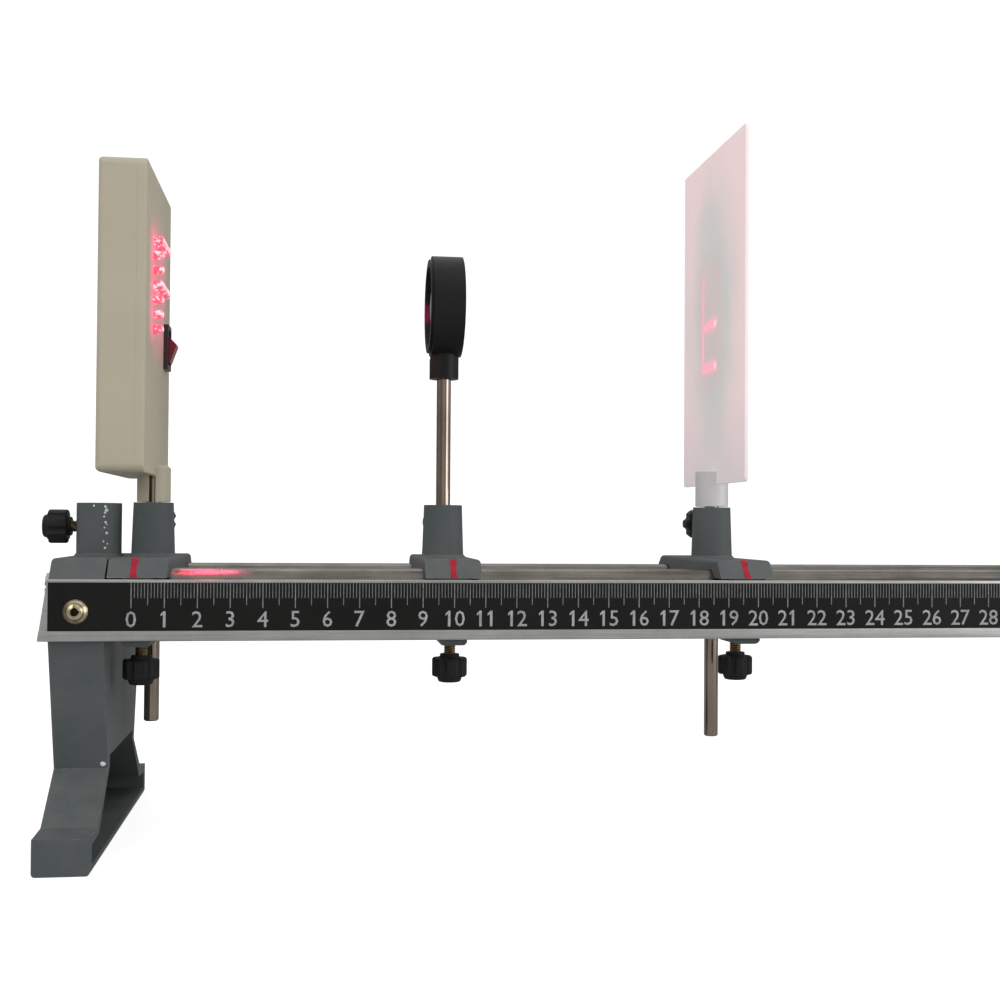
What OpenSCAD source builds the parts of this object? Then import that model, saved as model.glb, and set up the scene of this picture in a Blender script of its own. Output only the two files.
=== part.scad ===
/* [Bench] */
// Length of the scale, from its first mark to its last
scale_length = 600; // [400:50:1000]
// Height of the flat tops of all castings above the table
deck_z = 92.2; // [88:0.1:110]
// Outer diameter of the two rails
rail_d = 12; // [10:0.5:13]
// Wall of the rail tubes
rail_wall = 1.2; // [0.8:0.1:2]
// Distance between the axes of the two rails
rail_gap = 56; // [52:0.5:58]
// Depth of the rail axes below the flat tops
rail_drop = 9.2; // [8.8:0.1:10]
// Depth of the blind rail seats in an end support
rail_seat = 13; // [9:0.5:13.5]
// Length of the tapped plug pressed into each end of a rail
rail_plug = 14; // [10:1:30]
// Radial gap between a rail and the seat or groove that holds it
rail_clear = 0.1; // [0.05:0.01:0.2]

/* [End support] */
// Thickness of an end support along the bench
support_t = 16.6; // [16:0.1:20]
// Distance from the last mark of the scale to the middle of a support
support_offset = 16.6; // [16.2:0.1:25]
// Width of all castings across the bench, where the scale plate is screwed on
casting_w = 83.6; // [82:0.2:92]
// How far the sloped ends of a casting run in towards its top
deck_slope = 5; // [3:0.5:7]
// Height of those slopes
slope_h = 6.4; // [5.8:0.1:7]
// Width across the feet
foot_w = 124; // [118:1:140]
// Height of a foot block
foot_h = 11.4; // [9:0.2:13]
// Drop of a foot block's top towards its outer end
foot_fall = 0.4; // [0.4:0.2:2]
// Width of the legs where they meet the foot blocks
leg_foot_w = 98; // [92:1:112]
// Width of the support at its waist
waist_w = 59; // [54:1:76]
// Height of the waist above the table
waist_z = 25.8; // [22:0.2:30]
// Wall of the legs beside the pocket
leg_wall = 3.5; // [2.5:0.25:5]
// Thin rim below the pocket
foot_rim = 2.5; // [2:0.25:4]
// Height of the pocket's flat roof above the waist
pocket_rise = 3.5; // [1:0.5:6]
// Wall that closes the pocket on the outer side
pocket_back = 2.6; // [2:0.2:4]
// Radius of the cast edges along a support
cast_edge = 1.2; // [0.6:0.2:2]
// Diameter of the end socket's boss
boss_d = 14.8; // [13:0.2:15.6]
// Height of the boss above the flat top
boss_h = 17.7; // [15:0.1:24]
// Height of the fillet round the boss
boss_fillet = 0.8; // [0.4:0.1:1.2]
// Bore of the sockets that take a rod
socket_bore = 5.1; // [5.06:0.01:5.18]
// Depth of the end socket's bore
socket_depth = 40; // [25:1:45]
// Height of the end socket's thumb screw above the flat top
socket_screw_rise = 9.8; // [8:0.1:11]

/* [Scale plate] */
// Height of the scale plate
plate_h = 19; // [16:0.5:20]
// Thickness of the scale plate
plate_t = 1.2; // [0.8:0.1:1.6]
// Plate beyond the last mark at each end
plate_end = 27.8; // [25:0.1:32]
// Run of the slanted cut across each end of the plate
plate_slant = 2.7; // [0:0.1:4]
// Height of the rolled lip along the bottom edge
lip_h = 3.2; // [2.5:0.1:4]
// How far the lip stands proud
lip_t = 0.5; // [0.3:0.1:1]
// Bare margin of the plate above the label
label_top = 0.9; // [0.4:0.1:2]
// Bare margin beside the label, at the top of the slanted cut
label_side = 0.3; // [0.1:0.1:3]
// Thickness of the printed label
label_t = 0.15; // [0.1:0.05:0.3]
// Head diameter of the plate screws
plate_screw_head = 7.6; // [6:0.2:8]
// Height of that head
plate_screw_head_h = 2.2; // [1.6:0.1:2.6]
// Height of the plate screws above the plate's bottom edge
plate_screw_rise = 9.1; // [8:0.1:11]
// Length of the plate screws below the head
plate_screw_len = 10; // [7:1:14]

/* [Riders] */
// Length of a rider along the bench
rider_len = 18; // [16:0.5:24]
// Difference of a rider's width to that of the end supports
rider_narrow = 0.6; // [0.4:0.1:1.2]
// Thickness of a rider between the rails
rider_t = 4.9; // [4.2:0.1:5.4]
// Depth of the thicker front lug below the flat top
front_lug_h = 6; // [5.6:0.1:6.1]
// Depth of the thin rear edge below the flat top
rear_lug_h = 3.9; // [3:0.1:4.6]
// Length of the bevel under the rear edge
rear_bevel = 3.5; // [1:0.5:5]
// Diameter of a rider's post at its foot
post_d = 14.6; // [13.6:0.2:15.6]
// Diameter of a rider's post at its top
post_top_d = 13.3; // [12:0.1:13.5]
// Height of a rider's post
post_h = 18; // [15:0.5:24]
// Height of the post's thumb screw above the flat top
post_screw_rise = 12.1; // [10:0.1:13]
// Width of the clamp jaw along the bench
jaw_w = 8.8; // [7.6:0.2:12]
// Thickness of the jaw's arm under the rail
jaw_arm = 6.8; // [5:0.2:8]
// Free height between the rail and the jaw's arm
jaw_mouth = 5.5; // [4:0.5:7]
// Gap between the jaw and the plate in front of it, and the rail behind it
jaw_clear = 1.2; // [0.8:0.1:1.6]
// How far the jaw's arm reaches past the rail's axis
jaw_reach = 6; // [5:0.5:8]
// Bevel on the lower edges of the jaw
jaw_bevel = 1.3; // [0.6:0.1:1.8]
// Place of the lamp's rider on the scale
lamp_at = 1.3; // [1.3:0.1:10]
// Place of the lens's rider on the scale
lens_at = 100; // [85:1:130]
// Place of the screen's rider on the scale
screen_at = 197; // [180:1:300]

/* [Thumb screws] */
// Diameter of the screws' shanks
screw_d = 4; // [3:0.5:4.5]
// Radial gap between a screw and its threaded hole
screw_clear = 0.05; // [0.03:0.01:0.1]
// Gap left between a screw's tip and what it presses on
tip_gap = 0.15; // [0.1:0.05:0.3]
// Outer diameter of a knob
knob_d = 11.5; // [10:0.5:12]
// Height of a knob's fluted part
knob_h = 6.3; // [5:0.1:8]
// Diameter of a knob's plain cap
knob_cap_d = 8.3; // [7:0.1:9.5]
// Height of that cap
knob_cap_h = 1.8; // [1:0.1:2.5]
// Diameter of the hub below the flutes
knob_hub_d = 6.4; // [5.8:0.1:7]
// Height of that hub
knob_hub_h = 1.2; // [0.8:0.1:1.5]
// Radius of the flutes
flute_r = 1.5; // [1:0.1:1.8]
// Depth of the flutes
flute_depth = 0.9; // [0.5:0.1:1.2]
// Number of flutes
flutes = 7; // [5:1:9]
// Free screw between a clamp jaw and its knob
jaw_knob_gap = 3.6; // [2:0.1:6]
// Free screw between a rider's post and its knob
post_knob_gap = 4; // [2:0.1:6]
// Free screw between an end socket and its knob
socket_knob_gap = 1.5; // [0.4:0.1:3]

/* [Rods] */
// Diameter of the rods
rod_d = 5; // [4.6:0.1:5]
// Reach of the lamp's rod below its post's top
lamp_rod_drop = 73.9; // [40:0.1:80]
// Reach of the lens's rod below its post's top
lens_rod_drop = 44.9; // [30:0.1:80]
// Reach of the screen's rod below its post's top
screen_rod_drop = 81.8; // [40:0.1:82]
// Bevel at the rods' ends
rod_bevel = 0.4; // [0.2:0.1:0.8]
// Radial gap between a rod and the head on it
head_clear = 0.04; // [0.02:0.01:0.08]

/* [Light box] */
// Width of the light box across the bench
box_w = 68; // [64:1:80]
// Height of the light box
box_h = 100.2; // [94:0.2:120]
// Thickness of the light box along the bench
box_t = 15.2; // [14.2:0.1:18]
// Wall of the light box
box_wall = 1.6; // [1.2:0.1:1.8]
// Depth of the front cover
cover_t = 3; // [2.6:0.1:4]
// Radius of the box's corners, seen from the front
box_corner = 3; // [2:0.5:5]
// Radius of the edges round the back
box_back_edge = 2; // [1:0.25:3]
// Radius of the edges round the front
box_front_edge = 0.7; // [0.4:0.1:1.2]
// Distance from the rod's axis to the front face
face_ahead = 0.9; // [0.6:0.1:1.4]
// Height of the box's bottom above the post's top
box_lift = 9; // [7:0.5:14]
// Diameter of the split collar round the rod
collar_d = 11.2; // [9.6:0.2:12]
// Width of the split between the collar's halves
collar_slot = 2.25; // [2:0.25:3.5]
// Height of the collar's boss above the box's bottom
collar_rise = 3.6; // [3:0.1:3.8]
// Thickness of the boss above the rod's end
collar_cap = 1; // [0.8:0.1:1.4]
// Gap between the collar and the post it sits on
collar_gap = 0.2; // [0.1:0.05:0.5]
// Height of the lip on the cover that enters the shell
cover_lip = 1.4; // [0.8:0.1:2]
// Thickness of that lip
cover_lip_t = 1; // [0.7:0.1:1.2]
// Gap round the lip and round the loose parts in the box
box_clear = 0.15; // [0.1:0.05:0.25]
// Distance of the corner screws from the box's sides
box_screw_inset = 5.4; // [5:0.1:8]
// Diameter of the corner screws' posts
box_post_d = 5; // [4.6:0.1:5.6]
// Diameter of the corner screws
box_screw_d = 2.2; // [1.8:0.1:2.6]
// Head diameter of the corner screws
box_screw_head = 4; // [3.6:0.1:4.4]

/* [Lamps] */
// Pitch of the small lamps
led_pitch = 4.9; // [4.2:0.1:5.5]
// Diameter of a small lamp
led_d = 3; // [2.6:0.1:3.2]
// Diameter of a small lamp's flange
led_flange_d = 3.8; // [3.4:0.1:4]
// Thickness of that flange
led_flange_h = 1; // [0.6:0.1:1.2]
// How far a small lamp stands out of the front face
led_out = 3.4; // [2.5:0.1:4.5]
// Distance of the letter's stem from the box's middle
stem_y = 14; // [10:0.5:16]
// Thickness of the lamps' circuit board
board_t = 1.2; // [0.8:0.1:1.6]
// Margin of the board round the lamps
board_margin = 3.6; // [2.5:0.1:4]

/* [Switch] */
// Width of the switch's bezel
bezel_w = 10.5; // [9.5:0.1:11]
// Height of the switch's bezel
bezel_h = 15.9; // [14:0.1:16.5]
// Thickness of the bezel
bezel_t = 1.6; // [1.2:0.1:2]
// Border of the bezel round the switch's body
bezel_border = 0.8; // [0.6:0.1:1]
// Wall of the switch's body
switch_wall = 0.9; // [0.7:0.1:1.1]
// Depth of the switch's body behind the face
switch_depth = 8.4; // [7.5:0.1:9]
// Length of the terminals behind the switch
terminal_len = 2.6; // [2:0.1:3.2]
// Distance of the switch's middle from the box's middle
switch_y = 20; // [14:0.5:24]
// Height of the switch's body above the cells' compartment
switch_lift = 7.7; // [5:0.1:9]
// Height of the rocker's ridge above its pivot
rocker_h = 4.3; // [4:0.1:5.5]
// Tilt of the rocker to each side, in degrees
rocker_tilt = 12; // [8:1:13]
// Diameter of the rocker's pivot
rocker_pin = 1.4; // [1:0.1:1.6]

/* [Battery] */
// Diameter of a cell
cell_d = 10.4; // [9.8:0.1:10.5]
// Length of a cell without its contact nub
cell_len = 43.6; // [40:0.1:46]
// Diameter of the contact nub
cell_nub_d = 3.8; // [3:0.1:4.2]
// Height of the contact nub
cell_nub_h = 0.9; // [0.6:0.1:1.2]
// Free length at each end of a cell for its contact
contact_room = 3; // [2.4:0.1:4]
// Thickness of the contact plates
contact_t = 0.4; // [0.3:0.05:0.6]
// Thickness of the ribs round the cells
rib_t = 1.2; // [1:0.1:1.6]
// Height of the cells' compartment above the box's bottom
cells_rise = 7; // [6.8:0.1:8]
// Gap round the cells
cell_gap = 0.3; // [0.2:0.05:0.5]
// Width of the tongues along the battery door
door_tongue = 1.1; // [0.8:0.1:1.5]

/* [Lens] */
// Height of the lens's middle above the post's top
lens_lift = 69.5; // [60:0.5:90]
// Outer diameter of the lens holder
holder_d = 35; // [34:0.5:42]
// Width of the lens holder along the bench
holder_w = 11.6; // [11:0.1:14]
// Depth of the raised rim's step on the holder's face
holder_step = 1; // [0.5:0.1:1.5]
// Width of the raised rim round the holder
holder_rim = 1.2; // [0.8:0.1:1.6]
// Diameter of the lens
lens_d = 30; // [27:0.5:30.5]
// Radius of both lens faces
lens_radius = 52; // [45:1:90]
// Thickness of the lens at its edge
lens_edge = 3; // [2:0.1:3.2]
// Thickness of the ledge that the lens rests on
ledge_t = 2.6; // [2.6:0.1:3.2]
// Height of the ledge inwards from the lens's edge
ledge_h = 1.2; // [0.8:0.1:1.6]
// Width of the ring that keeps the lens in
keeper_w = 2; // [1.5:0.1:2.5]
// Radial gap round the lens and its ring
lens_clear = 0.05; // [0.03:0.01:0.1]
// Diameter of the holder's neck
neck_d = 10.2; // [8.6:0.2:11]
// Length of the neck below the holder
neck_len = 7.9; // [7.2:0.1:12]
// Depth of the rod in the neck
neck_grip = 6.6; // [6:0.1:7]

/* [Screen] */
// Width of the screen
screen_w = 75; // [70:1:90]
// Height of the screen
screen_h = 120; // [100:1:140]
// Thickness of the screen
screen_t = 1.3; // [1.2:0.1:2.4]
// Radius of the screen's corners
screen_corner = 1.5; // [0.5:0.1:4]
// Height of the screen's bottom above the post's top
screen_lift = 8.2; // [8:0.1:12]
// Distance of the screen's middle from the rod's axis
screen_ahead = 0.6; // [0:0.1:2]
// Diameter of the screen's socket
socket_d = 11.7; // [10.6:0.1:13]
// Length of the socket below the screen
socket_below = 7.9; // [6.5:0.1:8]
// Depth of the slot that the screen stands in
screen_slot = 4.6; // [3.6:0.1:6]
// Gap round the screen in its slot
slot_clear = 0.05; // [0.03:0.01:0.1]

/* [Hidden] */

// Overrun of every cut past the face it leaves
cut = 1;
// Flats of round parts
$fn = 48;
// Segments of one rounded corner
corner_steps = 5;

rail_z = deck_z - rail_drop;
rail_r = rail_d / 2;
rail_y = rail_gap / 2;
rail_bottom = rail_z - rail_r;
support_x = scale_length / 2 + support_offset;
rail_len = 2 * (support_x - support_t / 2 + rail_seat);

plate_y = -casting_w / 2;
plate_top = deck_z - slope_h;
plate_z = plate_top - plate_h;
plate_len = scale_length + 2 * plate_end;
label_z = plate_z + lip_h;
plate_screw_d = screw_d;
plate_screw_recess = 1.1;
plate_screw_slot = 0.9;
plate_screw_cross_share = 0.58;

rail_screw_d = 5;
rail_screw_head = 8.5;
rail_screw_head_h = 3;
rail_screw_grip = 9;

post_top = deck_z + post_h;
rod_r = rod_d / 2;
bore_r = socket_bore / 2;
screw_r = screw_d / 2;
screw_hole_r = screw_r + screw_clear;
jaw_top_z = rail_bottom - jaw_mouth;
jaw_bottom_z = jaw_top_z - jaw_arm;
jaw_front_y = plate_y + jaw_clear;
jaw_back_y = -rail_y - rail_r - jaw_clear;
rider_w = casting_w - rider_narrow;
lamp_x = lamp_at - scale_length / 2;
lens_x = lens_at - scale_length / 2;
screen_x = screen_at - scale_length / 2;

head_bore_r = rod_r + head_clear;
box_z = post_top + box_lift;
box_back_x = face_ahead - box_t;
box_inner_back = box_back_x + box_wall;
box_inner_face = face_ahead - box_wall;
split_x = face_ahead - cover_t;
collar_top = box_z + collar_rise;
lamp_rod_top = collar_top - collar_cap;
box_mid_z = box_z + box_h / 2;

cell_r = cell_d / 2;
cell_step = cell_d + 2 * cell_gap;
room_half = cell_len / 2 + contact_room;
room_z = box_z + cells_rise + rib_t;
room_h = 2 * cell_step;
room_top = room_z + room_h + rib_t;
cell_x = (box_inner_back + box_inner_face) / 2;
door_half_z = room_h / 2 - door_tongue;
door_z = room_z + room_h / 2;
door_skin = box_wall / 2;
spring_r = 3;
spring_tip_r = 1.6;
wire_r = 0.55;
elbow_share = 1.15;
resistor_r = 1.1;
resistor_len = 6.2;

rows = 7;
bar_rows = [0, 3];
bar_lamps = 4;
led_hole_r = led_d / 2 + box_clear;
board_x = box_inner_face - led_flange_h;
board_h = (rows - 1) * led_pitch + 2 * board_margin;
board_above_share = 0.57;
board_top = box_z + box_h - box_wall - board_above_share * (box_z + box_h - box_wall - room_top - board_h);
led_top_z = board_top - board_margin;

switch_w = bezel_w - 2 * bezel_border;
switch_h = bezel_h - 2 * bezel_border;
switch_zc = room_top + switch_lift + switch_h / 2;
rocker_w = switch_w - 2 * switch_wall - 2 * box_clear;
rocker_half = switch_h / 2 - switch_wall - 2.5 * box_clear;
rocker_root = 2.2;
rocker_root_half = 2.6;
rocker_ridge_r = 1.2;
well_depth = 4.4;
terminal_w = 3;
terminal_t = 0.8;
terminal_pitch = 5.4;

lens_z = post_top + lens_lift;
holder_r = holder_d / 2;
lens_seat_r = lens_d / 2 + lens_clear;
ledge_r = lens_d / 2 - ledge_h;
ledge_x = -holder_w / 2 + ledge_t;
lens_bulge = lens_radius - sqrt(pow(lens_radius, 2) - pow(lens_d / 2, 2));
keeper_in_r = lens_d / 2 - ledge_h - lens_clear;
lens_mid_x = ledge_x + lens_clear + lens_edge / 2 + lens_rise(ledge_r);
keeper_x = lens_mid_x + lens_edge / 2 + lens_clear + lens_rise(keeper_in_r);
neck_bottom = lens_z - holder_r - neck_len;
lens_rod_top = neck_bottom + neck_grip;

screen_z = post_top + screen_lift;
socket_top = screen_z + screen_slot;
socket_bottom = screen_z - socket_below;
screen_rod_cap = 1;
screen_rod_top = screen_z - screen_rod_cap;

// Points of one rounded corner about its centre, from angle a over a quarter turn
function corner(x, y, r, a) =
    [for (i = [0 : corner_steps]) let (turn = a + 90 * i / corner_steps)
        [x + r * cos(turn), y + r * sin(turn)]];

// Height of a lens face above its edge, at a distance from the middle
function lens_rise(r) = lens_bulge - lens_radius + sqrt(pow(lens_radius, 2) - pow(r, 2));

// Outline of a rectangle about the origin with its own radius on the low-x and the high-x side
function soft_rect(w, h, r_low, r_high) = concat(
    corner(w / 2 - r_high, h / 2 - r_high, r_high, 0),
    corner(-w / 2 + r_low, h / 2 - r_low, r_low, 90),
    corner(-w / 2 + r_low, -h / 2 + r_low, r_low, 180),
    corner(w / 2 - r_high, -h / 2 + r_high, r_high, 270));

// Closes an outline that is given for one side of the bench by its mirror image
function both_sides(half) =
    concat(half, [for (i = [len(half) - 1 : -1 : 0]) [-half[i][0], half[i][1]]]);

// Extrudes an outline of (y, z) points along the bench
module along_x(len) { rotate([90, 0, 90]) linear_extrude(len, center = true) children(); }

// Extrudes an outline of (x, z) points across the bench
module along_y(len) { rotate([90, 0, 0]) linear_extrude(len, center = true) children(); }

// A round bar on a horizontal axis along the bench
module bar_x(r, len) { rotate([0, 90, 0]) cylinder(r = r, h = len, center = true); }

// A round bar on a horizontal axis across the bench
module bar_y(r, len) { rotate([90, 0, 0]) cylinder(r = r, h = len, center = true); }

// Puts the shape at both ends of the bench, turned to face outwards
module at_both_ends() {
    translate([-support_x, 0, 0]) children();
    translate([support_x, 0, 0]) rotate([0, 0, 180]) children();
}

// Outline of an end support, seen along the bench
module support_outline() {
    polygon(both_sides([
        [foot_w / 2, 0], [foot_w / 2, foot_h - foot_fall], [leg_foot_w / 2, foot_h], [waist_w / 2, waist_z],
        [casting_w / 2, plate_z], [casting_w / 2, plate_top], [casting_w / 2 - deck_slope, deck_z]
    ]));
}

// Outline of the pocket in the lower part of an end support
module pocket_outline() {
    polygon(both_sides([
        [foot_w / 2 - leg_wall, foot_rim], [foot_w / 2 - leg_wall, foot_h - foot_fall - foot_rim],
        [leg_foot_w / 2 - leg_wall, foot_h - foot_rim], [waist_w / 2 - leg_wall, waist_z],
        [waist_w / 2 - leg_wall, waist_z + pocket_rise]
    ]));
}

// One end support, with its outer side towards low x and its middle at the origin
module end_support() {
    color("slategray") difference() {
        union() {
            intersection() {
                along_x(support_t) support_outline();
                translate([0, 0, deck_z / 2])
                    along_y(foot_w + cut) polygon(soft_rect(support_t, deck_z, cast_edge, cast_edge));
            }
            translate([0, 0, deck_z - cast_edge]) cylinder(d = boss_d, h = boss_h + cast_edge);
            translate([0, 0, deck_z]) cylinder(d1 = boss_d + 2 * boss_fillet, d2 = boss_d, h = boss_fillet);
        }
        translate([pocket_back, 0, 0]) along_x(support_t) pocket_outline();
        translate([0, 0, deck_z + boss_h - socket_depth]) cylinder(r = bore_r, h = socket_depth + cut);
        translate([-boss_d / 2, 0, deck_z + socket_screw_rise]) bar_x(screw_hole_r, boss_d);
        for (side = [-1, 1]) translate([0, side * rail_y, rail_z]) {
            translate([support_t / 2 - rail_seat / 2 + cut / 2, 0, 0])
                bar_x(rail_r + rail_clear, rail_seat + cut);
            translate([-support_t / 2, 0, 0]) bar_x(rail_screw_d / 2 + rail_clear, support_t);
        }
        for (side = [-1, 1]) translate([0, side * casting_w / 2, plate_z + plate_screw_rise])
            bar_y(screw_hole_r, 2 * plate_screw_len);
    }
}

module left_end_support() { translate([-support_x, 0, 0]) end_support(); }
module right_end_support() { translate([support_x, 0, 0]) rotate([0, 0, 180]) end_support(); }

// One rail tube at the given side of the bench
module rail(side) {
    color("silver") translate([0, side * rail_y, rail_z]) difference() {
        bar_x(rail_r, rail_len);
        bar_x(rail_r - rail_wall, rail_len + cut);
    }
}

module front_rail() { rail(-1); }
module rear_rail() { rail(1); }

// Tapped plugs in the four rail ends
module rail_plugs() {
    color("dimgray") for (end = [-1, 1], side = [-1, 1])
        translate([end * (rail_len - rail_plug) / 2, side * rail_y, rail_z]) difference() {
            bar_x(rail_r - rail_wall, rail_plug);
            bar_x(rail_screw_d / 2, rail_plug + cut);
        }
}

// Screws that draw the rails into the end supports
module rail_screws() {
    wall = support_t - rail_seat;
    color("gainsboro") at_both_ends() for (side = [-1, 1])
        translate([-support_t / 2, side * rail_y, rail_z]) {
            translate([(wall + rail_screw_grip) / 2, 0, 0])
                bar_x(rail_screw_d / 2, wall + rail_screw_grip);
            translate([-rail_screw_head_h / 2, 0, 0]) difference() {
                bar_x(rail_screw_head / 2, rail_screw_head_h);
                translate([-rail_screw_head_h / 2, 0, 0])
                    cube([rail_screw_head_h, rail_screw_head + cut, plate_screw_slot], center = true);
            }
        }
}

// Outline of the scale plate from the front, up to a height above its bottom edge
module plate_outline(h) {
    run = plate_slant * h / plate_h;
    end = plate_len / 2;
    polygon([[-end, plate_z], [end, plate_z], [end - run, plate_z + h], [-end + run, plate_z + h]]);
}

// Aluminium strip in front of the bench, with slanted ends and a rolled lip along its bottom edge
module scale_plate() {
    color("silver") difference() {
        union() {
            translate([0, plate_y - plate_t / 2, 0]) along_y(plate_t) plate_outline(plate_h);
            translate([0, plate_y - plate_t / 2 - lip_t, 0]) along_y(plate_t) plate_outline(lip_h);
        }
        for (end = [-1, 1]) translate([end * support_x, plate_y, plate_z + plate_screw_rise])
            bar_y(screw_hole_r, 4 * plate_t);
    }
}

// Black printed strip on the plate
module scale_label() {
    half = plate_len / 2 - plate_slant - label_side;
    color("black") difference() {
        translate([-half, plate_y - plate_t - label_t, label_z])
            cube([2 * half, label_t, plate_h - lip_h - label_top]);
        for (end = [-1, 1]) translate([end * support_x, plate_y - plate_t, plate_z + plate_screw_rise])
            bar_y(screw_hole_r, 4 * label_t);
    }
}

// Cross-head screws that hold the plate to the end supports
module scale_plate_screws() {
    head_y = plate_y - plate_t - label_t;
    dome_r = (pow(plate_screw_head / 2, 2) + pow(plate_screw_head_h, 2)) / (2 * plate_screw_head_h);
    color("khaki") for (end = [-1, 1]) translate([end * support_x, head_y, plate_z + plate_screw_rise]) {
        translate([0, plate_screw_len / 2 - plate_screw_recess / 2, 0])
            bar_y(plate_screw_d / 2, plate_screw_len - plate_screw_recess);
        difference() {
            intersection() {
                translate([0, dome_r - plate_screw_head_h, 0]) sphere(r = dome_r);
                translate([0, -plate_screw_head_h / 2, 0]) bar_y(plate_screw_head / 2, plate_screw_head_h);
            }
            translate([0, -plate_screw_head_h, 0]) for (turn = [0, 90]) rotate([0, turn, 0])
                cube([plate_screw_cross_share * plate_screw_head, 2 * plate_screw_recess, plate_screw_slot],
                    center = true);
        }
    }
}

// Steel shank of a thumb screw, tip at the origin, with the knob's grip at its far end
module screw_shank(reach) {
    color("tan") cylinder(r = screw_r, h = reach + knob_hub_h + knob_h - screw_r);
}

// Fluted knob of a thumb screw whose tip is at the origin
module screw_knob(reach) {
    color([0.12, 0.12, 0.12]) translate([0, 0, reach]) difference() {
        union() {
            cylinder(d = knob_hub_d, h = knob_hub_h);
            translate([0, 0, knob_hub_h]) linear_extrude(knob_h) difference() {
                circle(d = knob_d);
                for (i = [0 : flutes - 1]) rotate(360 * i / flutes)
                    translate([knob_d / 2 + flute_r - flute_depth, 0]) circle(r = flute_r, $fn = 24);
            }
            translate([0, 0, knob_hub_h + knob_h])
                cylinder(d1 = knob_cap_d, d2 = knob_cap_d - knob_cap_h, h = knob_cap_h);
        }
        translate([0, 0, -cut]) cylinder(r = screw_r, h = knob_hub_h + knob_h - screw_r + cut);
    }
}

// Places a thumb screw on the end sockets, outwards from the bore
socket_reach = boss_d / 2 - bore_r - tip_gap + socket_knob_gap;
module at_socket_screw() {
    translate([-bore_r - tip_gap, 0, deck_z + socket_screw_rise]) rotate([0, -90, 0]) children();
}

// Places a thumb screw under a rider's jaw, upwards onto the rail
jaw_reach_down = jaw_mouth + jaw_arm + jaw_knob_gap - tip_gap;
module at_rail_screw(x) { translate([x, -rail_y, rail_bottom - tip_gap]) rotate([180, 0, 0]) children(); }

// Places a thumb screw on the far side of a rider's post, onto the rod
post_reach = post_d / 2 - rod_r - tip_gap + post_knob_gap;
module at_post_screw(x) {
    translate([x, rod_r + tip_gap, deck_z + post_screw_rise]) rotate([-90, 0, 0]) children();
}

module left_socket_knob() { translate([-support_x, 0, 0]) at_socket_screw() screw_knob(socket_reach); }
module left_socket_screw() { translate([-support_x, 0, 0]) at_socket_screw() screw_shank(socket_reach); }
module right_socket_knob() {
    translate([support_x, 0, 0]) rotate([0, 0, 180]) at_socket_screw() screw_knob(socket_reach);
}
module right_socket_screw() {
    translate([support_x, 0, 0]) rotate([0, 0, 180]) at_socket_screw() screw_shank(socket_reach);
}

// Outline of a rider's saddle, seen along the bench
module rider_outline() {
    polygon([
        [-rider_w / 2, deck_z - front_lug_h], [-rail_y, deck_z - front_lug_h], [-rail_y, deck_z - rider_t],
        [rider_w / 2 - rear_bevel, deck_z - rider_t], [rider_w / 2, deck_z - rear_lug_h],
        [rider_w / 2 - deck_slope, deck_z], [-rider_w / 2 + deck_slope, deck_z]
    ]);
}

// Outline of the hooked jaw that reaches round the front rail
module jaw_outline() {
    end_y = -rail_y + jaw_reach;
    polygon([
        [jaw_front_y, deck_z - front_lug_h + cut], [jaw_front_y, jaw_bottom_z + jaw_bevel],
        [jaw_front_y + jaw_bevel, jaw_bottom_z], [end_y - jaw_bevel, jaw_bottom_z],
        [end_y, jaw_bottom_z + jaw_bevel], [end_y, jaw_top_z],
        [jaw_back_y + jaw_bevel, jaw_top_z], [jaw_back_y, jaw_top_z + jaw_bevel],
        [jaw_back_y, deck_z - front_lug_h + cut]
    ]);
}

// One rider casting: saddle, tapered post and jaw
module rider(x) {
    jaw_h = deck_z - front_lug_h + cut - jaw_bottom_z;
    color("slategray") translate([x, 0, 0]) difference() {
        union() {
            intersection() {
                along_x(rider_len) rider_outline();
                translate([0, 0, deck_z - rider_len / 2])
                    along_y(rider_w + cut) polygon(soft_rect(rider_len, rider_len, cast_edge, cast_edge));
            }
            translate([0, 0, deck_z - cast_edge])
                cylinder(d1 = post_d, d2 = post_top_d, h = post_h + cast_edge);
            translate([0, 0, deck_z]) cylinder(d1 = post_d + 2 * boss_fillet, d2 = post_d, h = boss_fillet);
            intersection() {
                along_x(jaw_w) jaw_outline();
                translate([0, 0, jaw_bottom_z + jaw_h / 2 + jaw_bevel]) along_y(rider_w)
                    polygon(soft_rect(jaw_w, jaw_h + 2 * jaw_bevel, jaw_bevel, jaw_bevel));
            }
        }
        for (side = [-1, 1]) translate([0, side * rail_y, rail_z])
            bar_x(rail_r + rail_clear, rider_len + cut);
        translate([0, 0, deck_z - rider_t - cut]) cylinder(r = bore_r, h = rider_t + post_h + 2 * cut);
        translate([0, post_d / 2, deck_z + post_screw_rise]) bar_y(screw_hole_r, post_d);
        translate([0, -rail_y, jaw_bottom_z - cut]) cylinder(r = screw_hole_r, h = jaw_arm + 2 * cut);
    }
}

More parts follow.
